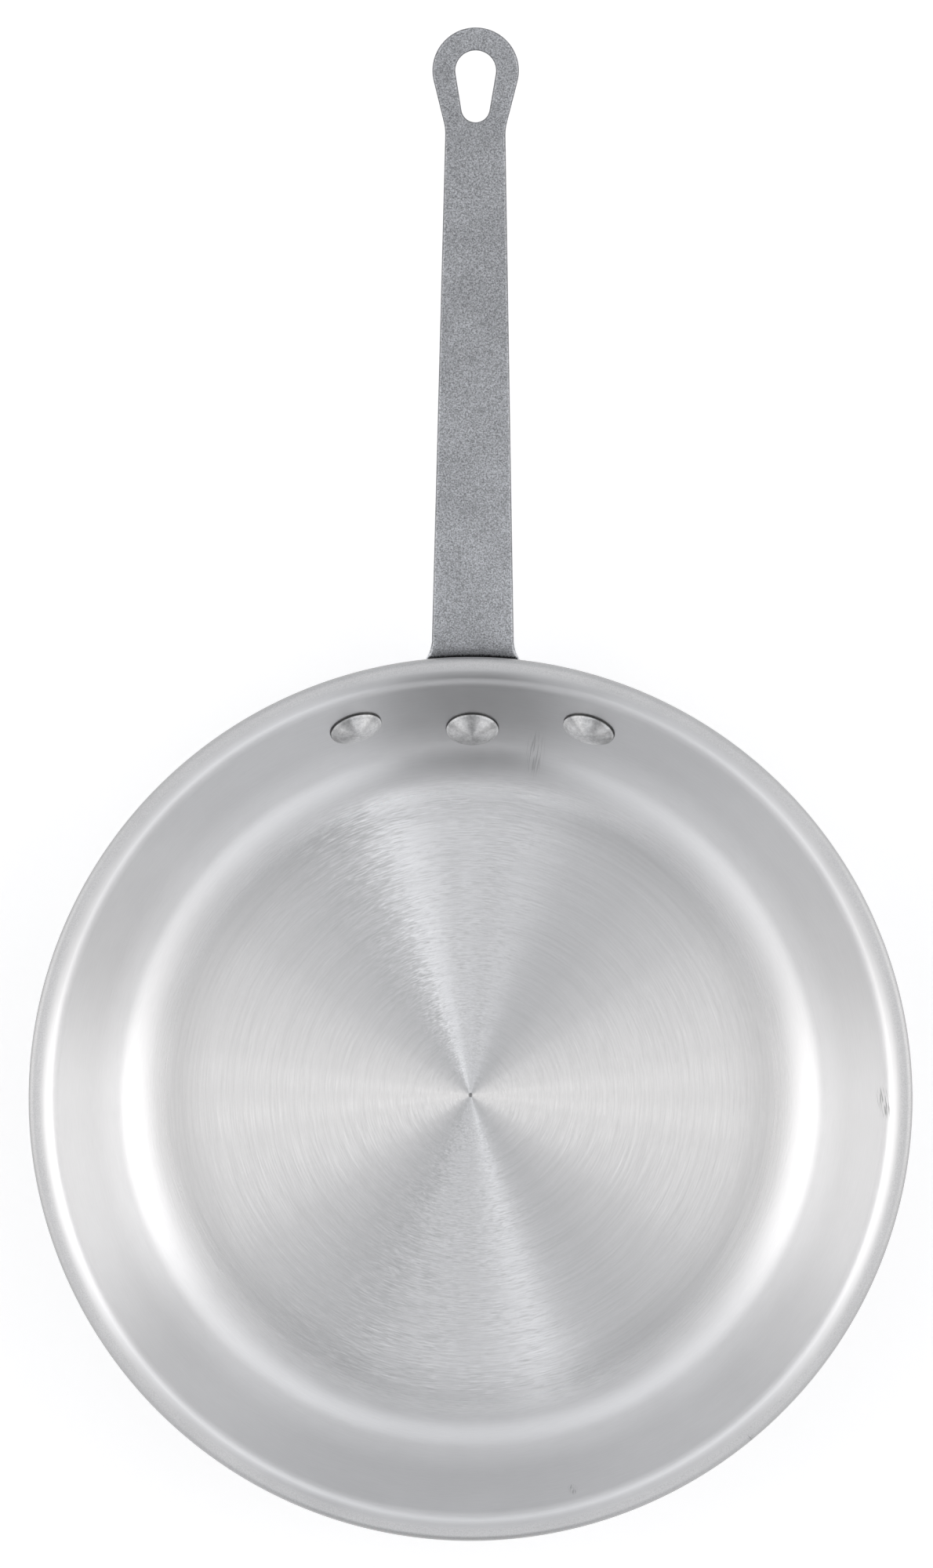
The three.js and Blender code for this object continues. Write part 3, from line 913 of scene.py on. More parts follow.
@dataclass(frozen=True)
class RivetFinish:
    """Pressed aluminium of the rivets, bright and mottled, with painted shade on the dome's rim, a painted
    bright line left inside the edge, and a dark edge that is part dirt in the gap and part painted contact
    shadow.

    Spans named for a place are pairs of distances along the profile from the top of the head, in metres.
    """

    colour: Colour = (0.93, 0.93, 0.925, 1.0)
    roughness: Span = (0.3, 0.38)  # from patch to patch
    anisotropy: float = 0.9
    grain_shade: Span = (0.8, 1.1)
    patch_shade: Span = (0.92, 1.04)
    # painted light round the head: painted shade on the dome's rim, a painted bright line, and a dark edge of
    # dirt and painted contact shadow
    painted_rim_shade_start: Span = (0.0059, 0.0072)  # painted shade: the dome's rim is a little darker
    painted_rim_shade_end: Span = (0.0073, 0.0077)  # and stops short of the edge, which leaves a painted bright line
    ring_depth: float = 0.15
    dirt_and_shadow_edge_start: Span = (0.008, 0.0083)
    dirt_and_shadow_edge_depth: float = 0.9
    head_end: Span = (0.0087, 0.009)
    tail_shade: float = 0.75

    def material(self) -> bpy.types.Material:
        """Build the material.

        Returns:
            The material.
        """
        material, sheet, surface = new_material("pressed_aluminium")
        grain = sheet.group(EFFECTS.grain, {"Size": 0.0009}).outputs["Grain"]
        patches = sheet.group(EFFECTS.clouds, {"Size": 0.004, "Seed": 3.0}).outputs["Patches"]
        distance = sheet.profile_distance()
        on_head = sheet.fade(distance, *self.head_end, 1.0, 0.0)
        # painted shade on the dome's rim, and a dark edge that is part dirt and part painted contact shadow;
        # the unshaded gap between them is a painted bright line
        ring = sheet.product(
            sheet.fade(distance, *self.painted_rim_shade_start, 0.0, self.ring_depth),
            sheet.fade(distance, *self.painted_rim_shade_end, 1.0, 0.0),
        )
        edge = sheet.fade(distance, *self.dirt_and_shadow_edge_start, 0.0, self.dirt_and_shadow_edge_depth)
        shade = sheet.product(
            sheet.spread(grain, *self.grain_shade),
            sheet.spread(patches, *self.patch_shade),
            sheet.without(sheet.product(sheet.math("ADD", ring, edge), on_head)),
            sheet.spread(on_head, self.tail_shade, 1.0),
        )
        tangent = sheet.add("Tangent", direction_type="UV_MAP", uv_map=UV_NAME).outputs[0]
        more = sheet.brushed(self.anisotropy, tangent) | {"Normal": sheet.bump(patches, 0.05, 0.0002)}
        sheet.feed(surface, sheet.metal(self.colour, shade, sheet.spread(patches, *self.roughness), more))
        return material


@dataclass
class PanBody:
    """Bowl: flat floor, round corner, bowed wall and rolled lip, one sheet of aluminium."""

    rim_radius: float
    height: float
    floor_radius: float = 87.5
    sheet: float = 3.5
    corner_radius: float = 24.0
    wall_bow: float = radians(10)  # the wall steepens by twice this
    lip_radius: float = 10.0
    lip_flat: float = 0.3
    lip_slope: float = radians(8)
    crease: float = radians(24)  # the lip leaves the wall at a slope that is less by this
    crease_round: float = 3.0  # length of the rounding on each side of the crease
    centre_mark_radius: float = 0.7
    centre_mark_depth: float = 0.4
    sides: int = 360

    @cached_property
    def brim_end(self) -> Place:
        """Upper edge of the brim, where its round edge begins."""
        edge = self.sheet / 2
        return Place(
            self.rim_radius - edge - edge * sin(self.lip_slope),
            self.height - edge + edge * cos(self.lip_slope),
            self.lip_slope,
        )

    @cached_property
    def lip_centre(self) -> tuple[float, float]:
        """Radius and height of the middle of the lip's round."""
        end, slope = self.brim_end, self.lip_slope
        return (
            end.radius - self.lip_flat * cos(slope) + self.lip_radius * sin(slope),
            end.height - self.lip_flat * sin(slope) - self.lip_radius * cos(slope),
        )

    def lip_place(self, radius: float, slope: float) -> Place:
        """Place on the lip's round, at a radius from its middle and at a slope."""
        across, height = self.lip_centre
        return Place(across - radius * sin(slope), height + radius * cos(slope), slope)

    def crease_place(self, slope: float) -> Place:
        """Where the wall meets the lip on the cooking side if the wall's middle had a given slope."""
        return self.lip_place(self.lip_radius, slope + self.wall_bow - self.crease)

    def wall_chord(self, slope: float) -> tuple[float, float]:
        """Chord of the wall from corner to crease if the wall's middle had a given slope.

        Args:
            slope: Slope at the middle of the wall.

        Returns:
            Slope and length of the chord.
        """
        foot = slope - self.wall_bow
        end = self.crease_place(slope)
        run = end.radius - self.floor_radius - self.corner_radius * sin(foot)
        rise = end.height - self.sheet - self.corner_radius * (1 - cos(foot))
        return atan2(rise, run), hypot(run, rise)

    @cached_property
    def wall_slope(self) -> float:
        """Slope at the middle of the wall, settled by its chord."""
        return settle(self.wall_bow, pi / 2, lambda slope: slope < self.wall_chord(slope)[0])

    @cached_property
    def wall_line(self) -> ProfileLine:
        """Cooking side from the centre of the floor to the crease: floor, corner and wall."""
        bend = self.wall_chord(self.wall_slope)[1] / (2 * sin(self.wall_bow))
        foot = self.wall_slope - self.wall_bow
        return ProfileLine(Place(0.0, self.sheet, 0.0), [
            Stretch(self.floor_radius, 0.0, 16),
            Stretch(self.corner_radius * foot, foot, 28),
            Stretch(bend * 2 * self.wall_bow, 2 * self.wall_bow, 30),
        ])

    def lip_line(self, start: Place, radius: float) -> ProfileLine:
        """One side of the lip, from the wall to the edge of the brim.

        Args:
            start: Where it leaves the wall, and at what slope.
            radius: Radius of its round.

        Returns:
            The line.
        """
        turn = start.slope - self.lip_slope
        return ProfileLine(start, [Stretch(radius * turn, -turn, 26), Stretch(self.lip_flat, 0.0, 2)])

    def cooking_points(self) -> np.ndarray:
        """Cooking side: wall and lip, joined over the crease by a curve (1-t)^2 a + 2t(1-t) crease + t^2 b.

        Returns:
            Rows of radius and height, from the centre of the floor to the edge of the brim.
        """
        crease = self.crease_place(self.wall_slope)
        lip = self.lip_line(crease, self.lip_radius)
        wall_end, lip_end = float(self.wall_line.begins[-1]), float(lip.begins[-1])
        lower = self.wall_line.between(0.0, wall_end - self.crease_round).points()
        upper = lip.between(self.crease_round, lip_end).points()
        share = np.linspace(0.0, 1.0, 10)[1:-1, None]
        middle = np.array((crease.radius, crease.height))
        ridge = (1 - share) ** 2 * lower[-1] + 2 * share * (1 - share) * middle + share**2 * upper[0]
        return np.concatenate((lower, ridge, upper))

    def outer_points(self) -> np.ndarray:
        """Outer side: a sheet's thickness off. Under the crease the wall stops where it meets the lip.

        Returns:
            Rows of radius and height, from the centre of the underside to the edge of the brim.
        """
        wall = self.wall_line.offset(self.sheet)
        under_radius = self.lip_radius - self.sheet
        across, height = self.lip_centre

        def is_below_lip(station: float) -> bool:
            """Whether the wall there has not yet met the lip's underside."""
            place = wall.at(station)
            return hypot(place.radius - across, place.height - height) < under_radius

        wall_end = float(wall.begins[-1])
        meeting = settle(wall_end - self.sheet, wall_end, is_below_lip)
        start = self.lip_place(under_radius, asin((across - wall.at(meeting).radius) / under_radius))
        lip = self.lip_line(start, under_radius)
        return np.concatenate((wall.between(0.0, meeting).points(), lip.points()[1:]))

    def build(self) -> bpy.types.Object:
        """Revolve the closed profile: dimple, cooking side, round edge, outer side.

        Returns:
            The bowl.
        """
        mark = np.array([
            (0.0, self.sheet - self.centre_mark_depth),
            (self.centre_mark_radius * 0.5, self.sheet - self.centre_mark_depth * 0.55),
            (self.centre_mark_radius, self.sheet),
        ])
        cooking = self.cooking_points()[1:]
        edge = ProfileLine(self.brim_end, [Stretch(pi * self.sheet / 2, -pi, 18)]).points()[1:-1]
        outer = self.outer_points()[::-1]
        surface = revolve(np.concatenate((mark, cooking, edge, outer)), self.sides)
        inner_rows = len(mark) + len(cooking) + len(edge) // 2
        surface.face_slot = (np.arange(len(surface.points) - 1) >= inner_rows).astype(int)
        return make_piece("bowl", [surface])

    def dress(self, bowl: bpy.types.Object) -> None:
        """Give the bowl its finishes, inside and outside."""
        bowl.data.materials.append(CookingSideFinish().material())
        bowl.data.materials.append(OuterSideFinish().material())


@dataclass
class RivetRow:
    """Three solid rivets in a row that is straight in plan, each square to the wall."""

    pan: PanBody
    inset: float = 20.7  # from the rim to the row, in plan
    pitch: float = 34.5
    head_radius: float = 7.85
    head_height: float = 3.0
    head_edge: float = 0.75
    edge_round: float = 0.35
    shank_radius: float = 3.1
    tail_radius: float = 5.8
    tail_top_radius: float = 4.5
    tail_height: float = 2.4
    tail_gap: float = 0.3  # between the flange and the tail's full height
    grip: float = 7.3  # from the cooking side to the far side of the flange
    sides: int = 72

    @cached_property
    def row(self) -> float:
        """From the axis of the pan to the row."""
        return self.pan.rim_radius - self.inset

    def place(self, across: float) -> tuple[Place, float]:
        """Where the cooking side is pierced.

        Args:
            across: Distance of the rivet from the middle of the row.

        Returns:
            Place on the profile, and angle from the handle's direction.
        """
        station = self.pan.wall_line.station_at_radius(hypot(across, self.row))
        return self.pan.wall_line.at(station), atan2(across, self.row)

    def profile(self) -> np.ndarray:
        """Closed profile of radius and height about the rivet's axis, from the head's top to the tail's.

        The head is a flat dome over a rounded edge that is drawn in at its foot, and the tail is a button
        with a rounded shoulder.

        Returns:
            Rows of radius and height, with height 0 on the cooking side.
        """
        rise = self.head_height - self.head_edge
        dome_radius = (self.head_radius**2 + rise**2) / (2 * rise)
        span = asin(self.head_radius / dome_radius) * 0.985  # stops short of the rounded edge
        dome = arc(0.0, self.head_height - dome_radius, dome_radius, pi / 2, pi / 2 - span, 26)
        edge_radius = self.head_radius - self.edge_round
        edge = arc(edge_radius, self.head_edge - 0.25, self.edge_round, radians(50), radians(-75), 9)
        foot = np.array([(edge_radius - 0.15, -0.3), (self.shank_radius, -0.6)])
        tail_foot = -self.grip + 0.4
        tail_end = -self.grip - self.tail_gap - self.tail_height
        shoulder = self.tail_radius - self.tail_top_radius
        angle = np.linspace(0.15, pi / 2, 10)
        tail = np.concatenate((
            [(self.shank_radius, tail_foot), (self.tail_radius, tail_foot)],
            [(self.tail_radius, tail_end + self.tail_height * 0.6)],
            np.stack((
                self.tail_top_radius + shoulder * np.cos(angle),
                tail_end + self.tail_height * 0.55 * (1 - np.sin(angle)),
            ), axis=1),
            [(self.tail_top_radius * 0.5, tail_end), (0.0, tail_end)],
        ))
        return np.concatenate((dome, edge, foot, tail))

    def build(self, name: str, across: float) -> bpy.types.Object:
        """Revolve the profile, tilt it square to the wall and swing it to its place in the row.

        Args:
            name: Name of the object.
            across: Distance of the rivet from the middle of the row.

        Returns:
            The rivet.
        """
        place, azimuth = self.place(across)
        surface = revolve(self.profile(), self.sides)
        x, y, z = np.moveaxis(surface.points, 2, 0)
        out = place.radius + y * cos(place.slope) - z * sin(place.slope)
        up = place.height + y * sin(place.slope) + z * cos(place.slope)
        surface.points = np.stack(
            (x * cos(azimuth) + out * sin(azimuth), out * cos(azimuth) - x * sin(azimuth), up), axis=2
        )
        return make_piece(name, [surface])

    def dress(self, rivets: list[bpy.types.Object]) -> None:
        """Give all rivets the same finish."""
        finish = RivetFinish().material()
        for rivet in rivets:
            rivet.data.materials.append(finish)


@dataclass
class StrapHandle:
    """One stamped steel strap: riveting flange, root bend, tapering grip and hanging eye.

    The flat blank has a coordinate across and one along from the centre rivet. It is laid out as three grids,
    thickened towards its middle by the distance from its outline, and bent.
    """

    pan: PanBody
    rivets: RivetRow
    thickness: float = 3.2
    edge_round: float = 0.9
    edge_power: float = 2.4  # 2 is a round edge, more is fuller
    root_width: float = 24.1
    neck_width: float = 17.5
    grip_length: float = 189.3
    root_bend_radius: float = 8.0
    root_rise: float = radians(17)
    tip_rise: float = radians(9)
    root_fillet: float = 11.0
    eye_radius: float = 12.6
    eye_to_neck: float = 17.0
    neck_round: float = 2.0  # length of the rounding on each side of the neck
    hole_wide_radius: float = 5.9
    hole_narrow_radius: float = 4.1
    hole_span: float = 11.0
    flange_foot: float = 10.5
    wing_radius: float = 9.0
    wing_slope: float = radians(11)
    seat_gap: float = 0.3
    edge_offsets: tuple[float, ...] = (0.0, 0.03, 0.09, 0.18, 0.3, 0.45, 0.65, 0.92)

    @cached_property
    def middle(self) -> float:
        """From the cooking side to the middle of the flange."""
        return self.pan.sheet + self.seat_gap + self.thickness / 2

    @cached_property
    def seat_line(self) -> ProfileLine:
        """Middle of the flange, parallel to the wall."""
        return self.pan.wall_line.offset(self.middle)

    def blank_place(self, across: float) -> tuple[float, float]:
        """Where a rivet pierces the blank.

        Args:
            across: Distance of the rivet from the middle of the row, in plan.

        Returns:
            Distance across the blank, and station on the seat line.
        """
        place, azimuth = self.rivets.place(across)
        radius = float(place.radius + self.middle * np.sin(place.slope))
        return azimuth * radius, self.seat_line.station_at_radius(radius)

    @cached_property
    def centre_station(self) -> float:
        """Station of the centre rivet on the seat line."""
        return self.blank_place(0.0)[1]

    @cached_property
    def wing(self) -> tuple[float, float]:
        """Centre of the right wing's round end, which is where its rivet goes."""
        across, station = self.blank_place(self.rivets.pitch)
        return across, station - self.centre_station

    @cached_property
    def flange_top(self) -> float:
        """Distance along the blank at which the root bend begins."""
        return self.wing[1] + self.wing_radius

    @cached_property
    def strap_line(self) -> ProfileLine:
        """Root bend and grip in the plane of the handle."""
        start = self.seat_line.at(self.centre_station + self.flange_top)
        turn = float(start.slope) - self.root_rise
        stretches = [
            Stretch(self.root_bend_radius * turn, -turn),
            Stretch(self.grip_length, self.tip_rise - self.root_rise),
        ]
        return ProfileLine(start, stretches)

    @cached_property
    def eye_along(self) -> float:
        """Distance along the blank of the eye's centre."""
        return self.flange_top + float(self.strap_line.begins[-1]) - self.eye_radius

    @cached_property
    def fillet_end(self) -> np.ndarray:
        """Upper end of the right root fillet, where the grip's straight edge begins."""
        return self.fillet(2)[-1]

    def fillet(self, count: int) -> np.ndarray:
        """Right root fillet, tangent to the wing's upper edge and to the grip's edge.

        Args:
            count: Number of points.

        Returns:
            Its points from the flange upwards.
        """
        wing_end = self.wing_arc(0.0, pi / 2 - self.wing_slope, 2)[-1]
        across = self.root_width / 2 + self.root_fillet
        rise = (self.root_fillet + (wing_end[0] - across) * sin(self.wing_slope)) / cos(self.wing_slope)
        return arc(across, wing_end[1] + rise, self.root_fillet, -pi / 2 - self.wing_slope, -pi, count)

    def wing_arc(self, start: float, stop: float, count: int) -> np.ndarray:
        """Part of the right wing's round end between two angles."""
        return arc(*self.wing, self.wing_radius, start, stop, count)

    def foot(self, count: int) -> np.ndarray:
        """Right half of the flange's lower edge: an arc that runs into the wing's round end.

        Args:
            count: Number of points on the arc and on the part of the round end below its outermost point.

        Returns:
            Points from the middle of the foot to the outermost point of the wing.
        """
        across, along = self.wing
        depth = self.flange_foot - self.wing_radius
        centre = (across**2 + along**2 - depth**2) / (2 * (along + depth))
        meet = atan2(along - centre, across)
        low = arc(0.0, centre, centre + self.flange_foot, -pi / 2, meet, count)
        return np.concatenate((low, self.wing_arc(meet, 0.0, count)[1:]))

    def flange_upper_edge(self, count: int) -> np.ndarray:
        """Right half of the flange's upper edge, from the fillet's upper end to the wing's outermost point.

        Args:
            count: Number of points on each of its two arcs.

        Returns:
            Points in order of growing distance across.
        """
        fillet = self.fillet(count)[::-1]
        round_end = self.wing_arc(pi / 2 - self.wing_slope, 0.0, count)
        straight = np.linspace(fillet[-1], round_end[0], 8)[1:-1]
        return np.concatenate((fillet, straight, round_end))

    def eye_edge(self, start_along: float, count: int) -> np.ndarray:
        """Right edge from a place on the grip, past the neck and round the eye to the tip.

        Args:
            start_along: Where on the grip it starts.
            count: Number of points on the eye's arc.

        Returns:
            Points from there to the tip.
        """
        neck = np.array((self.neck_width / 2, self.eye_along - self.eye_to_neck))
        reach = hypot(neck[0], self.eye_to_neck)
        eye_start = acos(self.eye_radius / reach) - atan2(self.eye_to_neck, neck[0])
        eye = arc(0.0, self.eye_along, self.eye_radius, eye_start, pi / 2, count)
        below = self.fillet_end - neck
        below = neck + below * self.neck_round / np.hypot(*below)
        above = eye[0] - neck
        above = neck + above * self.neck_round / np.hypot(*above)
        share = np.linspace(0.0, 1.0, 12)[:, None]
        bend = (1 - share) ** 2 * below + 2 * share * (1 - share) * neck + share**2 * above
        start = np.array((self.half_width(start_along), start_along))
        lead = np.linspace(start, below, 4)[:-1]
        rise = np.linspace(above, eye[0], 10)[1:-1]
        return np.concatenate((lead, bend, rise, eye))

    def half_width(self, along: np.ndarray | float) -> np.ndarray | float:
        """Half width of the grip, which tapers evenly from the fillet's end to the neck."""
        neck_along = self.eye_along - self.eye_to_neck
        share = (along - self.fillet_end[1]) / (neck_along - self.fillet_end[1])
        return self.fillet_end[0] + (self.neck_width / 2 - self.fillet_end[0]) * share

    def hole_edge(self, count: int) -> np.ndarray:
        """Teardrop hole: a wide arc, a narrow arc and the two lines that touch both.

        Args:
            count: Number of points on each arc.

        Returns:
            Closed outline without its last point.
        """
        flank = asin((self.hole_wide_radius - self.hole_narrow_radius) / self.hole_span)
        wide = arc(0.0, self.eye_along, self.hole_wide_radius, -flank, pi + flank, count)
        narrow_along = self.eye_along - self.hole_span
        narrow = arc(0.0, narrow_along, self.hole_narrow_radius, pi + flank, 2 * pi - flank, count)
        sides = np.linspace(0.0, 1.0, count)[1:-1, None]
        left = wide[-1] + (narrow[0] - wide[-1]) * sides
        right = narrow[-1] + (wide[0] - narrow[-1]) * sides
        return np.concatenate((wide, left, narrow, right))

    @cached_property
    def columns(self) -> np.ndarray:
        """Places across the grip as shares of its half width, from -1 to 1, closer together at the edges."""
        edge = 1 - np.array(self.edge_offsets) / (self.root_width / 2)
        right = np.concatenate((np.linspace(0.0, edge[-1], 9)[:-1], edge[::-1]))
        return np.concatenate((-right[:0:-1], right))

    def spaced(self, length: np.ndarray, inner: int) -> np.ndarray:
        """Distances from 0 to a length with the edge's close spacing at both ends.

        Args:
            length: Lengths, one for each line.
            inner: Number of even steps between the two ends.

        Returns:
            Array of lines and distances.
        """
        offsets = np.array(self.edge_offsets)
        scale = np.minimum(1.0, 0.35 * length / offsets[-1])[:, None]
        near = offsets[None, :] * scale
        share = np.linspace(0.0, 1.0, inner + 1)[None, 1:-1]
        between = near[:, -1:] + (length[:, None] - 2 * near[:, -1:]) * share
        return np.concatenate((near, between, length[:, None] - near[:, ::-1]), axis=1)

    def flange_grid(self) -> tuple[np.ndarray, np.ndarray]:
        """Blank of flange and root: lines along the blank from the lower edge to the upper one.

        Returns:
            Points of the grid as lines x steps x 2, and their distances from the outline.
        """
        upper, foot = self.flange_upper_edge(20), self.foot(160)
        fine_upper = self.flange_upper_edge(160)
        middle = self.columns[self.columns >= 0] * self.fillet_end[0]
        right = np.concatenate((middle, upper[1:, 0]))
        across = np.concatenate((-right[:0:-1], right))
        low = np.interp(np.abs(across), foot[:, 0], foot[:, 1])
        high = np.interp(np.abs(across), fine_upper[:, 0], fine_upper[:, 1])
        along = low[:, None] + self.spaced(high - low, 52)
        grid = np.stack(np.broadcast_arrays(across[:, None], along), axis=2)
        distance = self.outline_distance(grid, np.concatenate((foot, fine_upper[::-1])))
        on_edge = np.zeros(distance.shape, bool)
        on_edge[:, 0] = True
        on_edge[np.abs(across) > self.fillet_end[0] - WELD / MM, -1] = True
        return grid, np.where(on_edge, 0.0, distance)

    def grip_grid(self, cut_along: float) -> tuple[np.ndarray, np.ndarray]:
        """Blank of the grip: rows across it, from the fillet's end to the cut below the eye.

        Args:
            cut_along: Where the eye's grid takes over.

        Returns:
            Points of the grid as rows x columns x 2, and their distances from the outline.
        """
        along = np.linspace(self.fillet_end[1], cut_along, 80)[:, None]
        width = self.half_width(along)
        grid = np.stack(np.broadcast_arrays(self.columns * width, along), axis=2)
        return grid, (1 - np.abs(self.columns)) * width

    def eye_grid(self, cut_along: float) -> tuple[np.ndarray, np.ndarray]:
        """Blank of the eye: rays from the hole's edge to the outer edge and the cut across the grip.

        Args:
            cut_along: Where the grip's grid ends.

        Returns:
            Points of the grid as rays x steps x 2, and their distances from the outline.
        """
        edge = self.eye_edge(cut_along, 56)
        across_cut = self.columns * self.half_width(cut_along)
        cut = np.stack((across_cut, np.full(len(across_cut), cut_along)), axis=1)
        left = edge[::-1] * (-1, 1)
        outer = np.concatenate((edge, left[1:], cut[1:]))
        on_cut = np.arange(len(outer)) >= len(edge) + len(left) - 1
        on_cut[-1] = False

        hole = self.hole_edge(120)
        centre = np.array((0.0, self.eye_along - self.hole_span * 0.4))
        spokes = outer - centre
        hole_spokes = hole - centre
        reach = np.interp(
            np.arctan2(spokes[:, 1], spokes[:, 0]),
            np.arctan2(hole_spokes[:, 1], hole_spokes[:, 0]),
            np.hypot(*hole_spokes.T),
            period=2 * pi,
        )
        length = np.hypot(*spokes.T)
        inner = centre + spokes * (reach / length)[:, None]
        steps = self.spaced(length - reach, 8) / (length - reach)[:, None]
        grid = inner[:, None] + (outer - inner)[:, None] * steps[:, :, None]
        outer_distance = self.outline_distance(grid, self.eye_edge(self.fillet_end[1], 200))
        hole_distance = self.outline_distance(grid, np.concatenate((hole, hole[:1])), mirrored=False)
        distance = np.minimum(outer_distance, hole_distance)
        distance[:, 0] = 0.0
        distance[~on_cut, -1] = 0.0
        distance[on_cut, -1] = (1 - np.abs(self.columns[1:-1])) * self.half_width(cut_along)
        return grid, distance

    @staticmethod
    def outline_distance(grid: np.ndarray, outline: np.ndarray, mirrored: bool = True) -> np.ndarray:
        """Least distance from grid points to the segments of an outline.

        A point's foot on a segment is the start plus the segment times the share of it that the point has
        gone along it, held between 0 and 1.

        Args:
            grid: Points of the blank.
            outline: Points of the outline.
            mirrored: The outline is the right half of a symmetric one.

        Returns:
            One distance for each grid point.
        """
        points = grid.reshape(-1, 1, 2)
        if mirrored:
            points = np.concatenate((np.abs(points[..., :1]), points[..., 1:]), axis=2)
        start, run = outline[None, :-1], np.diff(outline, axis=0)[None]
        square = np.maximum((run**2).sum(2), 1e-12)
        share = np.clip(((points - start) * run).sum(2) / square, 0.0, 1.0)
        gap = points - start - run * share[..., None]
        return np.hypot(gap[..., 0], gap[..., 1]).min(1).reshape(grid.shape[:2])

    def bend(self, grid: np.ndarray, through: np.ndarray) -> np.ndarray:
        """Bend the flat blank: along it follows the wall, root bend and grip, across it wraps round the pan.

        A point's distance through the steel is laid off square to the line. The wrap turns it about an
        upright axis by the distance across over the wrap's radius, and fades out over the root bend.

        Args:
            grid: Points of the blank.
            through: Distance of each from the middle of the steel, towards the inside and the top.

        Returns:
            Points in space.
        """
        across, along = grid[..., 0], grid[..., 1]
        on_flange = self.seat_line.at(self.centre_station + np.minimum(along, self.flange_top))
        on_strap = self.strap_line.at(np.maximum(along - self.flange_top, 0.0))
        beyond = along > self.flange_top
        radius = np.where(beyond, on_strap.radius, on_flange.radius)
        height = np.where(beyond, on_strap.height, on_flange.height)
        slope = np.where(beyond, on_strap.slope, on_flange.slope)
        share = np.clip((along - self.flange_top) / self.root_fillet, 0.0, 1.0)
        wrap = (1 - share**2 * (3 - 2 * share)) / on_flange.radius
        inwards = through * np.sin(slope)
        turn = across * wrap
        # Sideways and outward reach of the wrap, written so that both stay finite where it fades out.
        sideways = across * np.sinc(turn / pi) - inwards * np.sin(turn)
        falls_back = across * np.sin(turn / 2) * np.sinc(turn / (2 * pi))
        outwards = radius - falls_back - inwards * np.cos(turn)
        return np.stack((sideways, outwards, height + through * np.cos(slope)), axis=2)

    def build(self) -> bpy.types.Object:
        """Make the upper and the lower face of each grid and weld them along the outline.

        Through the steel the face lies at half the thickness times a rounded edge: 1 - (1 - d)^p to the
        power 1 / p, where d is the distance from the outline over the edge's width, at most 1.

        Returns:
            The handle.
        """
        cut_along = self.eye_along - self.eye_to_neck - self.neck_round - 1.0
        surfaces = []
        for grid, distance in (self.flange_grid(), self.grip_grid(cut_along), self.eye_grid(cut_along)):
            share = np.minimum(distance / self.edge_round, 1.0)
            through = self.thickness / 2 * (1 - (1 - share) ** self.edge_power) ** (1 / self.edge_power)
            for side in (1, -1):
                surfaces.append(Surface(self.bend(grid, side * through), grid * MM))
        return make_piece("strap_handle", surfaces)

    def dress(self, handle: bpy.types.Object) -> None:
        """Give the handle its finish."""
        handle.data.materials.append(TumbledSteelFinish().material())


@dataclass(frozen=True)
class SoftBox:
    """One large flat lamp, placed round the pan and aimed at its middle."""

    name: str
    azimuth: float  # degrees clockwise from the handle, seen from above
    elevation: float  # degrees
    width: float  # metres
    height: float
    radiance: float
    distance: float = 1.5


@dataclass(frozen=True)
class Sector:
    """A brighter or darker sector of the surroundings, between two elevations, all angles in degrees."""

    azimuth: float  # clockwise from the handle
    half_width: float
    edge: float  # over which it fades out at its sides
    low: float
    high: float
    level: float  # added to the surroundings, less than 0 where it is darker
    soft: float = 4  # half of the elevation over which it fades out above and below


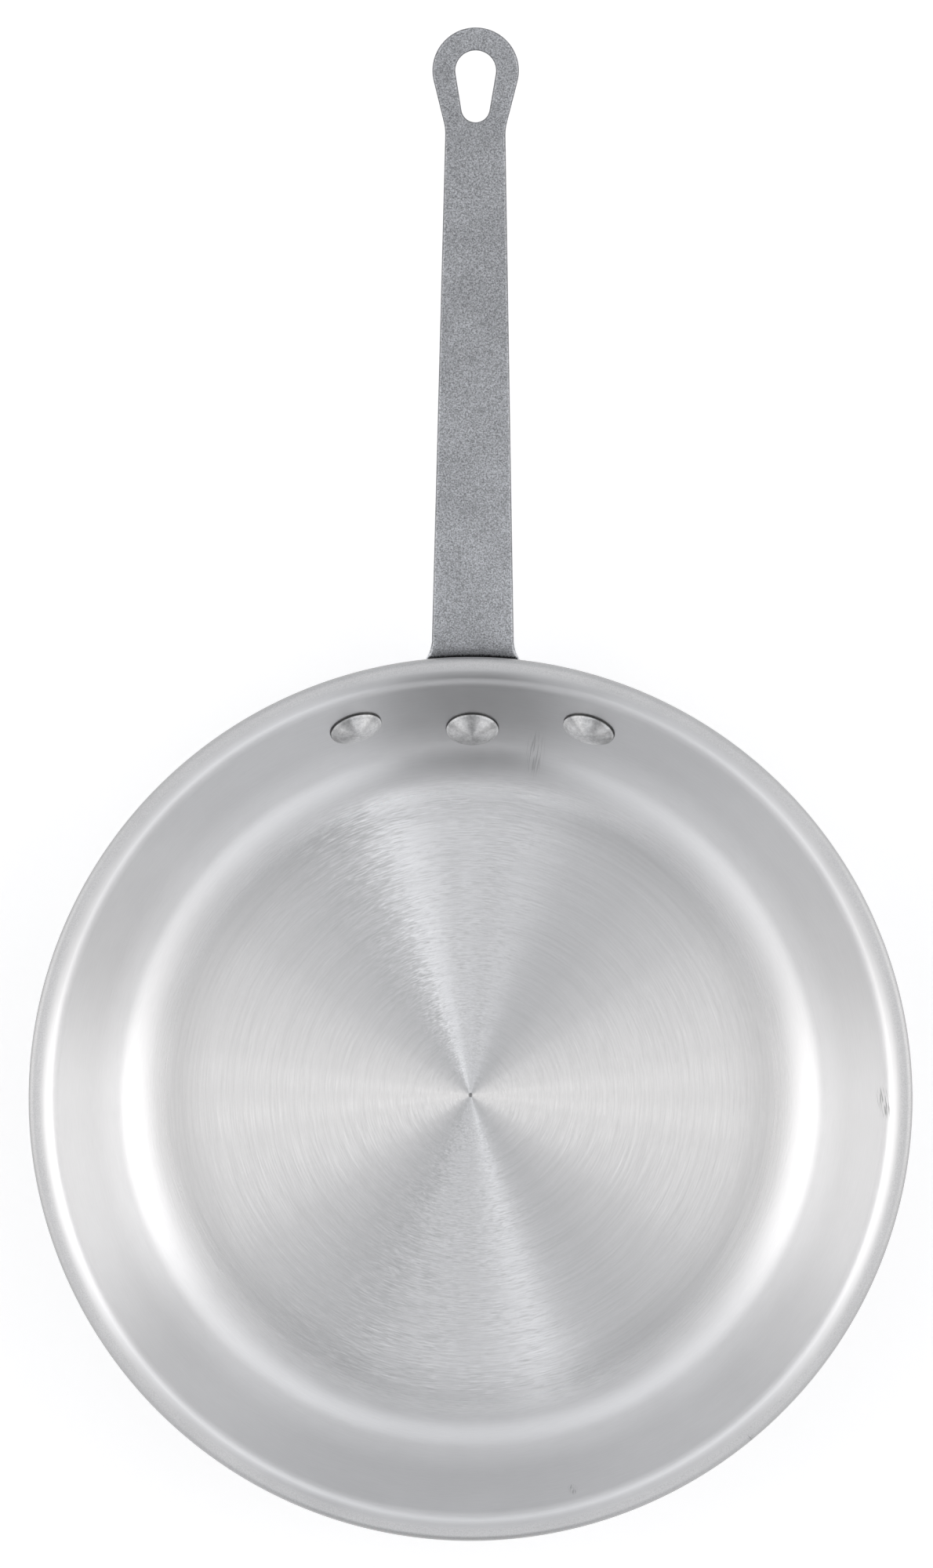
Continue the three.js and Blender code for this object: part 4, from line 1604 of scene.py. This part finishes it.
@dataclass
class Studio:
    """Pale floor, soft lamps, grey surroundings and the camera."""

    boxes: tuple[SoftBox, ...] = (
        SoftBox("box_left", 278, 30, 0.8, 2.2, 0.14),
        SoftBox("box_right", 82, 30, 0.8, 2.2, 0.17),
    )
    sectors: tuple[Sector, ...] = (
        Sector(179.5, 17.5, 1, 64, 84, 0.55),  # floor: wedge towards the handle
        Sector(165, 4.5, 1, 62, 84, 0.55),  # its bright streak
        Sector(-0.5, 17.5, 1, 56, 84, 0.08),  # floor: wedge opposite the handle
        Sector(-15, 4.5, 1, 56, 84, 0.4),  # its bright streak
        Sector(90, 30, 25, 66, 87, 0.33),  # floor: broad light at the sides
        Sector(270, 30, 25, 66, 87, 0.3),
        Sector(278, 17, 13, 0, 58, 0.24),  # corner and lip at the sides
        Sector(82, 17, 13, 0, 58, 0.27),
        Sector(278, 17, 13, -8, 16, 0.14),  # wall at the sides
        Sector(82, 17, 13, -8, 16, 0.18),
        Sector(0, 16, 10, -8, 30, -0.12),  # darker wall opposite the handle
        Sector(204, 10, 9, -8, 45, -0.1),  # darker wall beside the rivets
        Sector(180, 12, 6, -8, 24, 0.12),  # wall below the rivets
        Sector(0, 32, 14, 44, 58, -0.2),  # darker corner opposite the handle
    )
    overhead: float = 0.42  # brightness of the surroundings straight above
    around: float = 0.84  # all round, near the ground
    dark_end: float = 0.08  # opposite the handle
    dark_end_fades: Span = (-0.998, -0.955)  # forward part of the heading
    top_from: float = 0.45  # sine of the elevation from which it turns to overhead
    side_gain: float = 0.2  # brighter by this to left and right
    side_power: float = 4.0  # more keeps that gain closer to the sides
    end_tint: Colour = (0.98, 0.99, 1.02, 1.0)
    side_tint: Colour = (1.01, 0.998, 0.996, 1.0)
    horizon: float = 1.0  # least brightness at the horizon and below it
    horizon_fades: Span = (0.03, 0.05)  # sine of the elevation
    floor_radius: float = 14.0  # metres, as all that follows
    floor_colour: Colour = (0.8, 0.8, 0.8, 1.0)
    floor_white: float = 0.46  # added to the floor where it is seen, not where it lights
    floor_drop: float = 0.0004
    camera_height: float = 3.184
    camera_middle: tuple[float, float] = (-0.00165, 0.0926)
    camera_turn: float = radians(0.28)
    lens: float = 245.3
    sensor: float = 36.0

    def hang_boxes(self) -> None:
        """Hang the lamps, out of the camera's sight."""
        for box in self.boxes:
            lamp = bpy.data.lights.new(box.name, "AREA")
            lamp.shape = "RECTANGLE"
            lamp.size, lamp.size_y = box.width, box.height
            lamp.energy = box.radiance * 4 * box.width * box.height
            holder = bpy.data.objects.new(box.name, lamp)
            azimuth, elevation = radians(box.azimuth), radians(box.elevation)
            away = Vector((sin(azimuth) * cos(elevation), cos(azimuth) * cos(elevation), sin(elevation)))
            holder.location = away * box.distance
            holder.rotation_euler = (-away).to_track_quat("-Z", "Y").to_euler()
            holder.visible_camera = False
            bpy.context.scene.collection.objects.link(holder)

    def surround(self) -> None:
        """Make the surroundings: level with the ground all round, less overhead, plus the sectors."""
        world = bpy.data.worlds.new("surroundings")
        bpy.context.scene.world = world
        world.use_nodes = True
        world.node_tree.nodes.clear()
        sheet = NodeSheet(world.node_tree)
        way = sheet.add("TexCoord").outputs["Generated"]
        up = sheet.part(way, "Z")
        level_way = sheet.vector("NORMALIZE", sheet.vector("MULTIPLY", way, (1.0, 1.0, 0.0)))
        heading = sheet.add("SeparateXYZ", {0: level_way}).outputs
        sideways = sheet.math("POWER", sheet.math("ABSOLUTE", heading["X"]), self.side_power)
        ends = sheet.fade(heading["Y"], *self.dark_end_fades, self.dark_end, self.around)
        around = sheet.math("ADD", ends, sheet.math("MULTIPLY", sideways, self.side_gain))
        rise = {"Value": up, "From Min": self.top_from, "From Max": 1.0}
        top = sheet.add("MapRange", rise).outputs["Result"]
        below_top = sheet.math("MULTIPLY", around, sheet.without(top))
        level = sheet.math("ADD", below_top, sheet.math("MULTIPLY", top, self.overhead))
        for sector in self.sectors:
            level = sheet.math("ADD", level, self.sector_level(sheet, sector, level_way, up))
        level = sheet.math("MAXIMUM", level, sheet.fade(up, *self.horizon_fades, self.horizon, 0.0))
        tint = sheet.blend(sideways, self.end_tint, self.side_tint)
        sky = sheet.add("Background", {"Color": tint, "Strength": level})
        sheet.add("OutputWorld", {"Surface": sky.outputs[0]})

    @staticmethod
    def sector_level(sheet: NodeSheet, sector: Sector, level_way: Socket, up: Socket) -> Socket:
        """What a sector adds to the surroundings.

        Args:
            sheet: The sheet to draw on.
            sector: The sector.
            level_way: Unit vector of the direction's heading.
            up: Sine of its elevation.

        Returns:
            The added brightness.
        """
        azimuth = radians(sector.azimuth)
        towards = (sin(azimuth), cos(azimuth), 0.0)
        nearness = sheet.measure("DOT_PRODUCT", level_way, towards)
        outer, inner = radians(sector.half_width + sector.edge), radians(sector.half_width - sector.edge)
        inside = sheet.fade(nearness, cos(outer), cos(inner))
        low, high = (
            (sin(radians(elevation - sector.soft)), sin(radians(elevation + sector.soft)))
            for elevation in (sector.low, sector.high)
        )
        between = sheet.product(sheet.fade(up, *low), sheet.fade(up, *high, 1.0, 0.0))
        return sheet.product(inside, between, sector.level)

    def lay_floor(self) -> None:
        """Lay a round pale floor that looks white and keeps the shadow."""
        surface = revolve(np.array([(0.0, 0.0), (0.5, 0.0), (1.0, 0.0)]) * self.floor_radius / MM, 64)
        surface.points[..., 2] = -self.floor_drop / MM
        floor = make_piece("floor", [surface])
        material, sheet, output = new_material("pale_floor")
        path = sheet.add("LightPath").outputs
        seen = sheet.math("MAXIMUM", path["Is Camera Ray"], path["Is Glossy Ray"])
        seen = sheet.math("MAXIMUM", seen, path["Is Transmission Ray"])
        paint = sheet.add("BsdfPrincipled", {
            "Base Color": self.floor_colour,
            "Roughness": 0.9,
            "Specular IOR Level": 0.0,
            "Emission Color": (1.0, 1.0, 1.0, 1.0),
            "Emission Strength": sheet.math("MULTIPLY", seen, self.floor_white),
        })
        sheet.feed(output, paint.outputs[0])
        floor.data.materials.append(material)

    def set_camera(self) -> None:
        """Hang the camera straight above the pan, with the handle towards the top of the picture."""
        camera = bpy.data.cameras.new("camera")
        camera.lens = self.lens
        camera.sensor_width = self.sensor
        camera.clip_end = 100.0
        holder = bpy.data.objects.new("camera", camera)
        holder.location = (*self.camera_middle, self.camera_height)
        holder.rotation_euler = (0.0, 0.0, self.camera_turn)
        bpy.context.scene.collection.objects.link(holder)
        bpy.context.scene.camera = holder


def hand_over(piece: bpy.types.Object, node: str) -> None:
    """Put a finished piece in the place of its CAD node and report it.

    Args:
        piece: The finished piece.
        node: The CAD node that it stands for.
    """
    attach(piece, BODY)
    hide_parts(node)
    mesh = piece.data
    sizes = len(mesh.vertices), len(mesh.polygons)
    log.info("%s stands for %s: %d vertices, %d faces", piece.name, node, *sizes)


def main() -> None:
    """Build, dress and light the pan."""
    logging.basicConfig(level=logging.INFO, format="%(name)s: %(message)s")
    bpy.context.scene.view_settings.view_transform = "Standard"
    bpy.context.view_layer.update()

    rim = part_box("pan_body")[1] / MM
    pan = PanBody(rim_radius=rim.x, height=rim.z)
    bowl = pan.build()
    pan.dress(bowl)
    hand_over(bowl, "pan_body")

    row = RivetRow(pan)
    sides = {"rivet_left": -row.pitch, "rivet_centre": 0.0, "rivet_right": row.pitch}
    rivets = [row.build(name.replace("rivet", "domed_rivet"), across) for name, across in sides.items()]
    row.dress(rivets)
    for rivet, node in zip(rivets, sides):
        hand_over(rivet, node)

    strap = StrapHandle(pan, row)
    handle = strap.build()
    strap.dress(handle)
    hand_over(handle, "handle")

    studio = Studio()
    studio.lay_floor()
    studio.hang_boxes()
    studio.surround()
    studio.set_camera()


if __name__ == "__main__":
    main()
